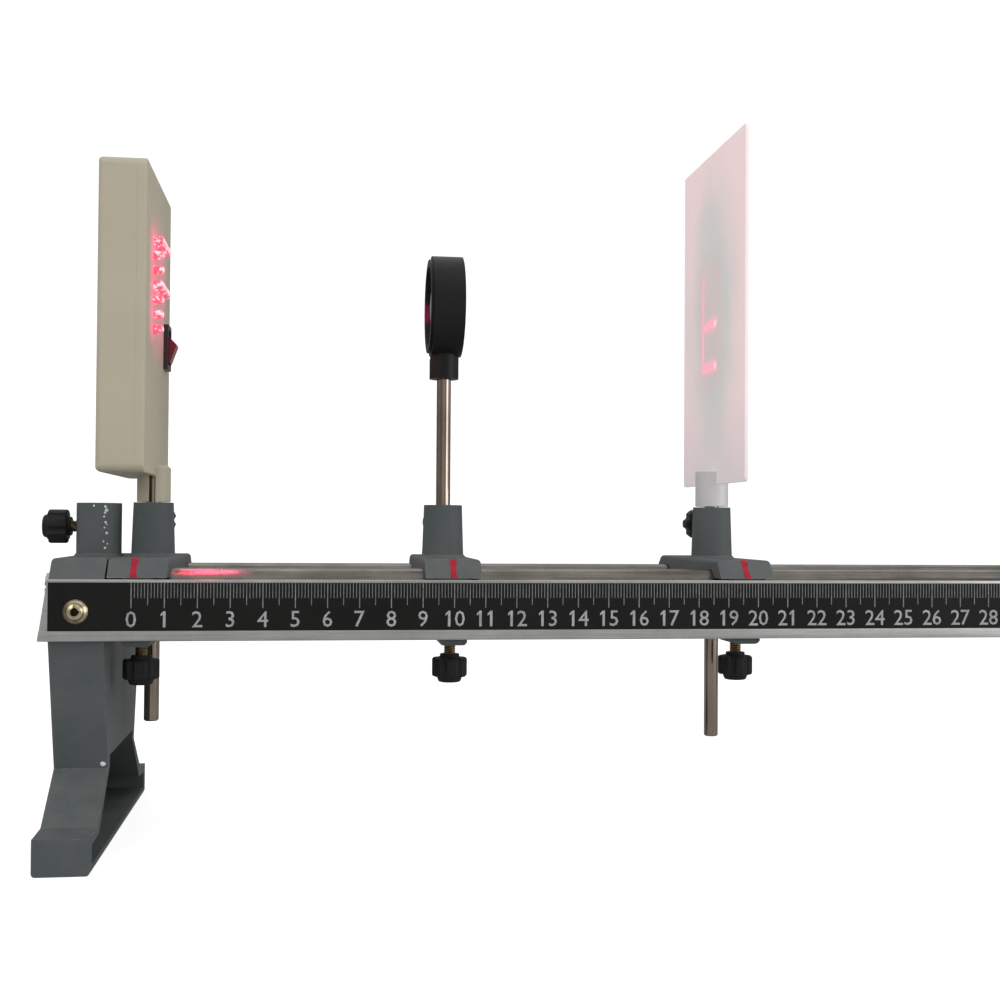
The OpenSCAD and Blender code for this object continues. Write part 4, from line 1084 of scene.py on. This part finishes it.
    def numbers(self) -> Surface:
        """One number under each centimetre tick, its digits side by side and centred on the tick.

        Returns:
            All digits as one surface.
        """
        glyphs = [one_form() if d == 1 else digit_form(str(d)) for d in range(10)]
        size = np.array([self.digit_h, self.ink_t, self.digit_h])
        parts = []
        for n in range(round(self.scale / (10 * MM)) + 1):
            text = str(n)
            for i, letter in enumerate(text):
                x = self.zero_x + n * 10 * MM + (i - (len(text) - 1) / 2) * self.digit_pitch
                shape = glyphs[int(letter)]
                points = shape.points * size + np.array([x, self.face_y - self.ink_t, self.digit_z])
                parts.append(Surface(points, shape.faces))
        return Surface.joined(parts)

    def specks(self) -> Surface:
        """Drops of white paint on the left boss, the knee and the sloped nose: low domes on the surface.

        Returns:
            All drops as one surface.
        """
        parts = []
        for angle, z, size in self.boss_drops:
            a = math.radians(angle)
            out = Vector((math.cos(a), math.sin(a), 0.0))
            foot = Vector(self.boss) + out * self.boss_r + Vector((0, 0, z * MM))
            parts.append(dome(foot, out, size * MM, self.drop_rise * size * MM))
        parts.append(dome(Vector(self.knee), Vector(self.knee_out), *self.knee_drop))
        for x, y in self.nose_drops:
            parts.append(dome(Vector((x * MM, y * MM, self.nose_z)), Vector(self.nose_out), *self.nose_drop))
        return Surface.joined(parts)


def round_corners(corners: list, radii: tuple, steps: int) -> np.ndarray:
    """A closed outline with each corner replaced by a curve through points on its two sides.

    Each corner becomes a quadratic curve: (1-t)^2 a + 2t(1-t) c + t^2 b, where a and b lie one radius away
    from the corner c along its sides.

    Args:
        corners: the outline's corners in order.
        radii: how far each curve starts from its corner.
        steps: points in each curve.

    Returns:
        The softened outline, an array of shape (n, 2).
    """
    points = np.array(corners)
    t = np.linspace(0, 1, steps)[:, None]
    parts = []
    for i, (c, r) in enumerate(zip(points, radii)):
        before, after = points[i - 1] - c, points[(i + 1) % len(points)] - c
        a = c + before / np.linalg.norm(before) * r
        b = c + after / np.linalg.norm(after) * r
        parts.append((1 - t) ** 2 * a + 2 * t * (1 - t) * c + t ** 2 * b)
    return np.concatenate(parts)


def dome(foot: Vector, out: Vector, radius: float, height: float) -> Surface:
    """A low round drop on a surface: radius times cos a, height times sin a, about the outward axis.

    Args:
        foot: the middle of its foot.
        out: the way out of the surface.
        radius: its radius.
        height: its height.

    Returns:
        The closed drop.
    """
    a = np.radians([0, 20, 42, 64, 84])
    profile = np.stack([radius * np.cos(a), height * np.sin(a)], -1)
    profile = np.concatenate([[[radius * 0.96, -0.12 * MM]], profile])
    turn = Vector((0, 0, 1)).rotation_difference(out.normalized()).to_matrix().to_4x4()
    return turned(profile, 14).placed(Matrix.Translation(foot) @ turn)


def digit_form(letter: str) -> Surface:
    """A digit as a flat form one unit high, standing in the xz plane about x = 0 and one unit thick.

    Args:
        letter: the digit.

    Returns:
        The closed form.
    """
    curve = bpy.data.curves.new("digit", "FONT")
    curve.body = letter
    curve.resolution_u = 2
    curve.extrude = 0.5
    curve.offset = 0.002
    maker = bpy.data.objects.new("digit", curve)
    bpy.context.scene.collection.objects.link(maker)
    bpy.context.view_layer.update()
    mesh = bpy.data.meshes.new_from_object(maker.evaluated_get(bpy.context.evaluated_depsgraph_get()))
    form = bmesh.new()
    form.from_mesh(mesh)
    bmesh.ops.remove_doubles(form, verts=form.verts, dist=1e-5)
    bmesh.ops.recalc_face_normals(form, faces=form.faces)
    points = np.array([v.co[:] for v in form.verts])
    faces = [[v.index for v in f.verts] for f in form.faces]
    form.free()
    bpy.data.objects.remove(maker)
    bpy.data.meshes.remove(mesh)
    bpy.data.curves.remove(curve)
    low, high = points.min(0), points.max(0)
    unit = (points - low) / (high[1] - low[1])
    deep = (points[:, 2] - low[2]) / (high[2] - low[2])
    return Surface(np.stack([unit[:, 0] - unit[:, 0].max() / 2, 1 - deep, unit[:, 1]], -1), faces)


def one_form() -> Surface:
    """The digit one as a slim stroke with a flag, in the same unit frame as digit_form's.

    Returns:
        The closed form.
    """
    outline = np.array([(-0.07, 0.0), (0.09, 0.0), (0.09, 1.0), (-0.04, 1.0), (-0.22, 0.82), (-0.22, 0.68),
                        (-0.07, 0.79)])
    n = len(outline)
    points = np.concatenate([np.insert(outline, 1, depth, axis=1) for depth in (0.0, 1.0)])
    faces = [list(range(n)), list(range(n, 2 * n))[::-1]]
    faces += [[i, i + n, (i + 1) % n + n, (i + 1) % n] for i in range(n)]
    return Surface(points, faces)


def dress_nodes(finishes: dict) -> None:
    """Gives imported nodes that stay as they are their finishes.

    Args:
        finishes: the finish of each node, by the node's name.
    """
    for node, finish in finishes.items():
        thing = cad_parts[node]
        if not thing.material_slots:
            thing.data.materials.append(finish.material())
        for place in thing.material_slots:
            place.link = "OBJECT"
            place.material = finish.material()
        log.info("%s keeps its shape and takes %s", node, finish.name)


@dataclass
class ThumbScrew:
    """A threaded shank with a fluted knob, along z with its tip at the origin."""

    node: str
    body: str
    tip: Vector
    way: Vector
    length: float
    paints: Paints
    radius: float = 1.98 * MM
    thread_depth: float = 0.32 * MM
    pitch: float = 0.7 * MM
    knob_r: float = 5.75 * MM
    flute_r: float = 1.5 * MM
    flute_depth: float = 0.75 * MM
    flutes: int = 7
    columns: int = 112
    thread_columns: int = 28
    rows_per_turn: int = 7
    into_knob: float = 5 * MM
    tip_cut: float = 0.55 * MM

    def build(self) -> None:
        """Adds the knob and the shank in place of their nodes."""
        turn = Vector((0, 0, 1)).rotation_difference(self.way).to_matrix().to_4x4()
        place = Matrix.Translation(self.tip) @ turn
        knob, screw = f"{self.node}_knob", f"{self.node}_screw"
        Piece.add(f"{self.node}_fluted_knob", self.knob().placed(place), self.paints.knob.material(),
                  self.body, knob, (knob,), sharp=35)
        Piece.add(f"{self.node}_threaded_shank", self.shank().placed(place), self.paints.thread.material(),
                  self.body, screw, (screw,), sharp=70)

    def shank(self) -> Surface:
        """A helical thread: r = root + depth times a flat-topped triangle wave of (h / pitch - turn).

        Returns:
            The closed shank, cut smaller at its tip.
        """
        rows = int(self.length / self.pitch * self.rows_per_turn)
        h = np.linspace(0, self.length + self.into_knob, rows)[:, None]
        a = np.linspace(0, math.tau, self.thread_columns, endpoint=False)[None]
        wave = np.abs(2 * np.mod(h / self.pitch - a / math.tau, 1) - 1)
        depth = self.thread_depth * np.clip(wave * 1.25 - 0.12, 0, 1)
        r = self.radius - self.thread_depth + depth
        r = np.minimum(r, self.radius - self.tip_cut + h)
        return tube(np.stack([r * np.cos(a), r * np.sin(a), np.broadcast_to(h, r.shape)], -1))

    def flute(self, a: np.ndarray) -> np.ndarray:
        """The outer radius at an angle: the knob's circle, or the near side of a flute's where that is less.

        Args:
            a: the angles.

        Returns:
            The radius at each.
        """
        centre = self.knob_r + self.flute_r - self.flute_depth
        step = math.tau / self.flutes
        off = np.mod(a + step / 2, step) - step / 2
        inside = np.maximum(self.flute_r ** 2 - (centre * np.sin(off)) ** 2, 0)
        cut = np.where(inside > 0, centre * np.cos(off) - np.sqrt(inside), np.inf)
        sharp = 0.25 * MM
        gap = np.clip((cut - self.knob_r + sharp) / (2 * sharp), 0, 1)
        smooth = cut * (1 - gap) + self.knob_r * gap - sharp * gap * (1 - gap)
        return np.where(np.isinf(cut), self.knob_r, smooth)

    def knob(self) -> Surface:
        """A fluted body between a hub and a domed cap: each row has a height, an inset and a share of flutes.

        r = share * (fluted radius - inset) + (1 - share) * plain radius. The hub and the cap are given as
        heights and plain radii in millimetres.

        Returns:
            The closed knob.
        """
        hub = ((0.0, 2.6), (0.0, 3.0), (0.2, 3.2), (1.1, 3.2), (1.2, 3.5))
        cap = ((7.5, 4.35), (7.56, 4.2), (7.75, 4.1), (8.7, 3.75), (9.0, 3.6), (9.2, 3.3), (9.28, 2.9),
               (9.24, 2.0), (9.1, 1.6), (9.08, 0.8))
        base, top = hub[-1][0] * MM, cap[0][0] * MM
        soft = np.radians(np.linspace(0, 90, 5))
        rows = [(h * MM, r * MM, 0) for h, r in hub]
        r_soft = 0.75 * MM
        rows += [(base + r_soft * (1 - math.sin(s)), r_soft * (1 - math.cos(s)), 1) for s in soft[::-1]]
        rows += [(top - r_soft * (1 - math.sin(s)), r_soft * (1 - math.cos(s)), 1) for s in soft]
        rows += [(h * MM, r * MM, 0) for h, r in cap]
        a = np.linspace(0, math.tau, self.columns, endpoint=False)
        fluted = self.flute(a)
        rings = []
        for h, value, share in rows:
            r = fluted - value if share else np.full_like(a, value)
            rings.append(np.stack([r * np.cos(a), r * np.sin(a), np.full_like(a, h)], -1))
        rings = np.array(rings)
        rings[..., 2] += self.length
        return tube(rings)


class Rider(Enum):
    """The three riders by name, with the places of their rods along the bench."""

    LAMP = "lamp"
    LENS = "lens"
    SCREEN = "screen"

    @property
    def x(self) -> float:
        """Place of the rider's middle along the bench."""
        low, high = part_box(f"{self.value}_rod")
        return (low.x + high.x) / 2


@dataclass
class Carriage:
    """One rider with its rod, its two thumb screws and its index line."""

    rider: Rider
    paints: Paints
    deck: float = 92.2 * MM
    casting_edge: float = 0.35 * MM
    lamp_line_shift: float = -1.1 * MM
    line_w: float = 2.0 * MM
    line_back: float = 5.5 * MM
    line_bend: float = 5.0 * MM
    line_foot: float = 0.12 * MM
    line_drop: float = 5.86 * MM
    line_sunk: float = 0.15 * MM
    line_coat: float = 0.06 * MM
    slope_out: tuple = (-0.768, 0.640)

    def build(self) -> None:
        """Dresses the rider's nodes and adds the screws and the painted line."""
        name = self.rider.value
        Piece.rounded(f"{name}_rider", f"{name}_rider_casting", self.casting_edge,
                      self.paints.cast.material(), f"{name}_carriage")
        dress_nodes({f"{name}_rod": self.paints.rod})
        for kind, way in (("rail", Vector((0, 0, -1))), ("post", Vector((0, 1, 0)))):
            place_screw(f"{name}_{kind}", f"{name}_{kind}_clamp", way, self.paints)
        Piece.add(f"{name}_index_line", self.index_line(), self.paints.index.material(), f"{name}_carriage")

    def index_line(self) -> Surface:
        """A brushed line of paint over the sloped front: a thin flat ring carried down the slope.

        The half width swells and shrinks along the line by a sum of sines, as a brush leaves it.

        Returns:
            The closed line.
        """
        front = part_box(f"{self.rider.value}_rider")[0].y
        x = self.rider.x + (self.lamp_line_shift if self.rider is Rider.LAMP else 0.0)
        path = np.array([[front + self.line_back, self.deck], [front + self.line_bend, self.deck],
                         [front + self.line_foot, self.deck - self.line_drop]])
        t = np.concatenate([[0, 0.9], np.linspace(1.05, 2, 14)])
        line = np.stack([np.interp(t, range(3), path[:, i]) for i in range(2)], -1)
        lift = np.where(t[:, None] < 1, np.array([[0.0, 1.0]]), np.array([self.slope_out]))
        wobble = 0.06 * MM * np.sin(7.1 * t) + 0.05 * MM * np.sin(16.3 * t + 1)
        half = self.line_w / 2 + wobble * 1.5
        inner, outer = line - lift * self.line_sunk, line + lift * self.line_coat
        left, right = x - half + wobble, x + half + wobble
        rings = np.stack([np.column_stack([left, inner]), np.column_stack([right, inner]),
                          np.column_stack([right, outer]), np.column_stack([left, outer])], 1)
        return tube(rings)


def place_screw(node: str, body: str, way: Vector, paints: Paints) -> None:
    """Builds a thumb screw where its two nodes are.

    Args:
        node: the common start of the two nodes' names.
        body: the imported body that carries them.
        way: the direction from the tip to the knob.
        paints: the bench's finishes.
    """
    axis = max(range(3), key=lambda i: abs(way[i]))
    low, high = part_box(f"{node}_screw")
    tip = (low + high) / 2
    tip[axis] = low[axis] if way[axis] > 0 else high[axis]
    knob_low, knob_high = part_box(f"{node}_knob")
    near = knob_low[axis] if way[axis] > 0 else knob_high[axis]
    ThumbScrew(node, body, tip, way, abs(near - tip[axis]), paints).build()


def red_spot(piece: bpy.types.Object, name: str, place: Vector, way: Vector, power: float, angle: float,
             radius: float, on_paint: bool = True) -> None:
    """A red lamp with a soft cone that rides with a piece, for the light that the lamps throw.

    Args:
        piece: the piece that carries it.
        name: the lamp's name.
        place: where it is.
        way: where it shines to.
        power: its power in watts.
        angle: the whole angle of its cone in degrees.
        radius: the lamp's own radius.
        on_paint: whether it also lights matt surfaces, or shows only as a gleam on glossy ones.
    """
    light = bpy.data.lights.new(name, "SPOT")
    light.energy, light.color = power, (1.0, 0.05, 0.15)
    light.spot_size, light.spot_blend, light.shadow_soft_size = math.radians(angle), 1.0, radius
    lamp = bpy.data.objects.new(name, light)
    lamp.location = place
    lamp.rotation_euler = way.to_track_quat("-Z", "Y").to_euler()
    lamp.parent = piece
    lamp.visible_diffuse = on_paint
    bpy.context.scene.collection.objects.link(lamp)


@dataclass
class LightBox:
    """The plastic box with its lamps, switch and cells."""

    paints: Paints
    flange_r: float = 1.9 * MM
    dome_r: float = 1.5 * MM
    rows: int = 7
    bar_rows: tuple = (0, 3)
    bar_lamps: int = 4
    rail_spot: Point = (-0.2785, -0.0330, 0.0878)
    ahead_watts: float = 0.04
    ahead_angle: float = 70.0
    gleam_watts: float = 2.6
    gleam_angle: float = 14.0
    gleam_r: float = 5 * MM
    # cover_depth to weak_reach place the painted red glow of the lamps' light on the cover.
    cover_depth: float = 6 * MM
    halo_reach: float = 8 * MM
    halo_aside: float = 5 * MM
    weak_pitches: float = 5.5
    weak_core: float = -12 * MM
    weak_reach: float = 14 * MM

    def places(self) -> list:
        """The (y, z) of each lamp's axis: a stem of rows, and bars to the right at the bar rows.

        Returns:
            The places, the stem's from the top down and then the bars'.
        """
        low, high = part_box("leds")
        y, top, p = low.y + self.flange_r, high.z - self.flange_r, self.pitch
        stem = [(y, top - row * p) for row in range(self.rows)]
        bars = [(y + (i + 1) * p, top - row * p) for row in self.bar_rows for i in range(self.bar_lamps)]
        return stem + bars

    @property
    def pitch(self) -> float:
        """The distance between neighbouring lamps."""
        low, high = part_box("leds")
        return (high.z - low.z - 2 * self.flange_r) / (self.rows - 1)

    def build(self) -> None:
        """Dresses the box's nodes, paints the red glow of the lamps' light on the front cover, and adds the
        lit lamps.
        """
        cream = Moulded("Cream plastic", base=(0.475, 0.44, 0.335), other=(0.51, 0.47, 0.36),
                        worn=(0.55, 0.51, 0.42), dusty=(0.42, 0.39, 0.32), rough=0.42, fine=1900.0,
                        bump=0.0001, wear=0.12, dust=0.2, through=0.1, specular=0.35)
        # The front cover gets a painted red glow of the lamps' light round the lamps, in its emission and its
        # base colour.
        lit = replace(cream, name="Cream plastic, lit", glows=self.halo(), glow_colour=(0.62, 0.10, 0.16),
                      glow_strength=1.0, glow_base=(0.50, 0.27, 0.29))
        Piece.rounded("box_shell", "box_rear_shell", 0.22 * MM, cream.material(), "light_box")
        Piece.rounded("box_cover", "box_front_cover", 0.22 * MM, lit.material(), "light_box")
        Piece.rounded("battery_door", "battery_door_slide", 0.15 * MM, cream.material(), "battery_door")
        Piece.rounded("switch_body", "switch_bezel", 0.18 * MM,
                      Moulded("Switch black", rough=0.35, wear=0.2).material(), "light_box")
        red = Moulded("Rocker red", base=(0.19, 0.008, 0.022), other=(0.23, 0.01, 0.028),
                      worn=(0.4, 0.06, 0.08), dusty=(0.3, 0.1, 0.1), rough=0.25, fine=3500.0, bump=0.00004,
                      wear=0.15, dust=0.1)
        Piece.rounded("switch_rocker", "rocker_key", 0.25 * MM, red.material(), "switch_rocker")
        low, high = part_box("leds")
        epoxy = LitEpoxy("Lit lamps", top=(0.0, *self.places()[0]), pitch=self.pitch, tip_x=high.x)
        letter = Piece.add("lit_lamps", self.lamps(), epoxy.material(), "light_box", "leds", ("leds",))
        middle = (low + high) / 2
        middle.x = high.x + MM
        red_spot(letter, "Lamp light", middle, Vector((1, 0, 0)), self.ahead_watts, self.ahead_angle,
                 (high.z - low.z) / 4)
        red_spot(letter, "Lamp light on the rail", middle, Vector(self.rail_spot) - middle, self.gleam_watts,
                 self.gleam_angle, self.gleam_r, on_paint=False)
        dress_nodes({
            "box_screws": self.paints.zinc, "battery_contacts": self.paints.zinc,
            "switch_terminals": self.paints.brass,
            "led_board": Print("Circuit board", base=(0.02, 0.11, 0.04), thin=(0.03, 0.15, 0.06), rough=0.35),
            "led_resistor": Print("Resistor", base=(0.36, 0.22, 0.11), thin=(0.45, 0.30, 0.17), rough=0.4),
            "battery_cells": Print("Cell sleeve", base=(0.06, 0.16, 0.09), thin=(0.08, 0.2, 0.11), rough=0.3),
            "box_wires": Print("Wire", base=(0.35, 0.02, 0.015), thin=(0.42, 0.03, 0.02), rough=0.45),
        })

    def halo(self) -> tuple:
        """The bars of the painted red glow of the lamps' light on the cover: one beside the stem, one at each
        bar, and a weak one behind all.

        Returns:
            Each bar's low end, high end, core and reach. A core below nothing keeps a bar weak.
        """
        (y, z), p, x = self.places()[0], self.pitch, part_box("box_cover")[1].x
        last, back, reach = z - (self.rows - 1) * p, x - self.cover_depth, self.halo_reach
        bars = [((back, y - self.halo_aside, last), (x, y, z), 0.0, reach)]
        bars += [((back, y, z - row * p), (x, y + self.bar_lamps * p, z - row * p), 0.0, reach)
                 for row in self.bar_rows]
        bars.append(((back, y, last), (x, y + self.weak_pitches * p, z), self.weak_core, self.weak_reach))
        return tuple(bars)

    def lamps(self) -> Surface:
        """Turned lamps: a flange, a straight body and a dome, along +x from the board.

        Returns:
            All lamps as one surface.
        """
        low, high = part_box("leds")
        reach = high.x - low.x
        a = np.radians(np.linspace(0, 84, 8))
        flange, dome_r = self.flange_r, self.dome_r
        profile = np.array([[flange - 0.2 * MM, 0.0], [flange, 0.12 * MM], [flange, 0.9 * MM],
                            [flange - 0.1 * MM, MM], [dome_r, 1.02 * MM]])
        tip = np.stack([dome_r * np.cos(a), reach - dome_r + dome_r * np.sin(a)], -1)
        lamp = turned(np.concatenate([profile, tip]), 24)
        turn = Matrix.Rotation(math.pi / 2, 4, "Y")
        places = [Matrix.Translation((low.x, y, z)) @ turn for y, z in self.places()]
        return Surface.joined([lamp.placed(place) for place in places])


@dataclass
class LensHead:
    """The black ring with its lens, and a painted red reflection of the lamps on the ring."""

    paints: Paints
    lens_r: float = 15.0 * MM
    face_r: float = 52.0 * MM
    # These fields place the painted red reflection of the lamps on the ring's inner rim.
    spot_aside: float = 1.5 * MM
    spot_ahead: float = 12 * MM
    spot_below: float = 6 * MM
    spot_above: float = 1.5 * MM
    spot_core: float = MM
    spot_reach: float = 4 * MM

    def build(self) -> None:
        """Dresses the ring with a painted red reflection of the lamps, and turns the lens anew, so that its
        faces are smooth.
        """
        low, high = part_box("lens_glass")
        # Painted light: a red reflection of the lamps, glowing on the ring's inner rim beside the lens.
        y, z = high.y + self.spot_aside, (low.z + high.z) / 2
        spot = ((low.x - self.spot_ahead, y, z - self.spot_below), (low.x, y, z + self.spot_above),
                self.spot_core, self.spot_reach)
        ring = replace(self.paints.holder, name="Holder plastic, lit", glows=(spot,),
                       glow_colour=(0.65, 0.01, 0.14), glow_strength=0.5)
        Piece.rounded("lens_holder", "lens_ring", 0.4 * MM, ring.material(), "lens_head")
        Piece.rounded("lens_keeper", "keeper_ring", 0.2 * MM, self.paints.holder.material(), "lens_head")
        Piece.add("turned_lens", self.lens(), ClearGlass("Lens glass").material(), "lens_head", "lens_glass",
                  ("lens_glass",), 30)

    def lens(self) -> Surface:
        """Two ball faces back to back: h = half the thickness - R + sqrt(R^2 - r^2), mirrored below.

        Returns:
            The closed lens.
        """
        low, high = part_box("lens_glass")
        middle, half = (low + high) / 2, (high.x - low.x) / 2
        r = np.linspace(0.4 * MM, self.lens_r, 26)
        h = half - self.face_r + np.sqrt(self.face_r ** 2 - r ** 2)
        profile = np.concatenate([np.stack([r, -h], -1), np.stack([r, h], -1)[::-1]])
        turn = Matrix.Rotation(math.pi / 2, 4, "Y")
        return turned(profile, 72).placed(Matrix.Translation(middle) @ turn)


@dataclass
class ScreenHead:
    """The frosted sheet in its white socket."""

    sheet_edge: float = 0.25 * MM
    socket_edge: float = 0.3 * MM

    def build(self) -> None:
        """Dresses the sheet and the socket."""
        low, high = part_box("screen_panel")
        sheet = FrostedSheet("Frosted sheet", middle=tuple((low + high) / 2))
        Piece.rounded("screen_panel", "frosted_sheet", self.sheet_edge, sheet.material(), "screen_head")
        white = Moulded("White plastic", base=(0.62, 0.605, 0.615), other=(0.67, 0.655, 0.665),
                        worn=(0.8, 0.8, 0.8), dusty=(0.55, 0.53, 0.5), rough=0.35, bump=0.00005, wear=0.1,
                        dust=0.15, through=0.2)
        Piece.rounded("screen_socket", "sheet_socket", self.socket_edge, white.material(), "screen_head")


@dataclass
class Studio:
    """A pale floor that runs up into a backdrop, soft lamps and the camera."""

    place: Point = (-0.2426, -0.46601, 0.1036)
    yaw: float = 0.133824
    pitch: float = 0.018242
    roll: float = 0.0069814
    focal: float = 48.08
    sensor: float = 36.0
    nearest: float = 0.01
    softboxes: tuple = field(default_factory=lambda: (
        ("Top", (-0.1, -0.15, 1.5), (0, 0, 0.1), 2.2, 2.2, 10.3),
        ("Left", (-1.3, -0.9, 1.1), (-0.1, 0, 0.1), 1.0, 0.8, 6.0),
        ("Front", (-1.1, -1.3, 0.45), (-0.2, 0, 0.08), 1.8, 0.9, 5.2),
        ("Right", (0.82, -0.52, 0.35), (-0.2, 0, 0.1), 1.0, 0.8, 7.2),
        ("Behind", (0.0, 1.0, 1.1), (0, 0, 0.2), 2.0, 0.8, 3.8),
    ))
    unmirrored: tuple = ("Front",)
    floor_front: float = -2.5
    half_wide: float = 3.0
    bend_y: float = 1.0
    bend_r: float = 0.6
    wall_high: float = 1.1
    dark_top: tuple = (0.22, 0.62)
    dark_side: tuple = (0.2, 0.55)
    sky: tuple = ((0.18, 0.18, 0.18), (0.50, 0.50, 0.485), (0.25, 0.24, 0.23))
    seen: Colour = (1.0, 1.0, 1.0)

    def build(self) -> None:
        """Sets up the floor, the lamps, the surroundings and the camera."""
        self.floor()
        self.lamps()
        self.surroundings()
        self.camera()

    def floor(self) -> None:
        """A section of floor, quarter turn and wall, carried along x: one smooth sheet."""
        a = np.radians(np.linspace(-90, 0, 13))
        bend = np.stack([self.bend_y + self.bend_r * np.cos(a), self.bend_r + self.bend_r * np.sin(a)], -1)
        section = np.concatenate([[[self.floor_front, 0.0]], bend,
                                  [[self.bend_y + self.bend_r, self.wall_high]]])
        xs = np.array([-self.half_wide, self.half_wide])
        points = np.array([[x, y, z] for x in xs for y, z in section])
        n = len(section)
        faces = [[i, i + n, i + n + 1, i + 1] for i in range(n - 1)]
        mesh = bpy.data.meshes.new("Studio floor")
        mesh.from_pydata(points.tolist(), [], faces)
        mesh.shade_smooth()
        mesh.materials.append(StudioPaper("Studio paper").material())
        floor = bpy.data.objects.new("Studio floor", mesh)
        bpy.context.scene.collection.objects.link(floor)
        floor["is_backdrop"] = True

    def lamps(self) -> None:
        """Large square lamps, each turned to what it lights, some of them not seen in polished metal."""
        for name, place, target, wide, high, power in self.softboxes:
            light = bpy.data.lights.new(name, "AREA")
            light.shape = "RECTANGLE"
            light.size, light.size_y, light.energy = wide, high, power
            lamp = bpy.data.objects.new(name, light)
            lamp.location = place
            lamp.rotation_euler = (Vector(target) - Vector(place)).to_track_quat("-Z", "Y").to_euler()
            lamp.visible_glossy = name not in self.unmirrored
            bpy.context.scene.collection.objects.link(lamp)

    def surroundings(self) -> None:
        """A world that looks pale, but lights with a dark top and dark sides for metal to mirror."""
        world = bpy.data.worlds.new("Studio")
        world.use_nodes = True
        tree = Tree(world.node_tree)
        way = tree.add("ShaderNodeTexCoord").outputs["Generated"]
        parts = tree.add("ShaderNodeSeparateXYZ", {0: way}).outputs
        colour = tree.blend(tree.span(parts["Z"], *self.dark_top, 0.0, 1.0, True), self.sky[1], self.sky[0])
        aside = tree.math("ABSOLUTE", parts["X"])
        colour = tree.blend(tree.span(aside, *self.dark_side, 0.0, 1.0, True), colour, self.sky[2])
        straight = tree.add("ShaderNodeLightPath").outputs["Is Camera Ray"]
        colour = tree.blend(straight, colour, self.seen)
        light = tree.add("ShaderNodeBackground", {"Color": colour, "Strength": 1.0})
        tree.add("ShaderNodeOutputWorld", {"Surface": light.outputs[0]})
        bpy.context.scene.world = world
        bpy.context.scene.view_settings.view_transform = "Standard"

    def camera(self) -> None:
        """The camera from its place, its turn to the side, its tilt upwards and its roll."""
        ahead = Vector((math.sin(self.yaw) * math.cos(self.pitch), math.cos(self.yaw) * math.cos(self.pitch),
                        math.sin(self.pitch)))
        level = Vector((math.cos(self.yaw), -math.sin(self.yaw), 0))
        upright = level.cross(ahead)
        right = math.cos(self.roll) * level + math.sin(self.roll) * upright
        up = math.cos(self.roll) * upright - math.sin(self.roll) * level
        turn = Matrix((right, up, -ahead)).transposed().to_4x4()
        data = bpy.data.cameras.new("Camera")
        data.lens, data.sensor_width, data.clip_start = self.focal, self.sensor, self.nearest
        camera = bpy.data.objects.new("Camera", data)
        camera.matrix_world = Matrix.Translation(self.place) @ turn
        bpy.context.scene.collection.objects.link(camera)
        bpy.context.scene.camera = camera


def write_sizes(before: object, after: object) -> None:
    """Makes the CAD's box and the dressed part's box into plain lists of numbers, and drops them.

    Args:
        before: the CAD's box.
        after: the dressed part's box.
    """
    def plain(box: object) -> object:
        """A box as nested lists."""
        return [plain(v) for v in box] if hasattr(box, "__len__") else float(box)

    {"cad": plain(before), "visual": plain(after)}


def main() -> None:
    """Builds the bench part by part, then the studio round it."""
    logging.basicConfig(level=logging.INFO, format="%(name)s: %(message)s")
    paints = Paints()
    Studio().build()
    Bench(paints).build()
    place_screw("left_socket", "left_socket_clamp", Vector((-1, 0, 0)), paints)
    place_screw("right_socket", "right_socket_clamp", Vector((1, 0, 0)), paints)
    for rider in Rider:
        Carriage(rider, paints).build()
    for part in (LightBox(paints), LensHead(paints), ScreenHead()):
        part.build()
    write_sizes(CAD_BOX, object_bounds())


if __name__ == "__main__":
    main()
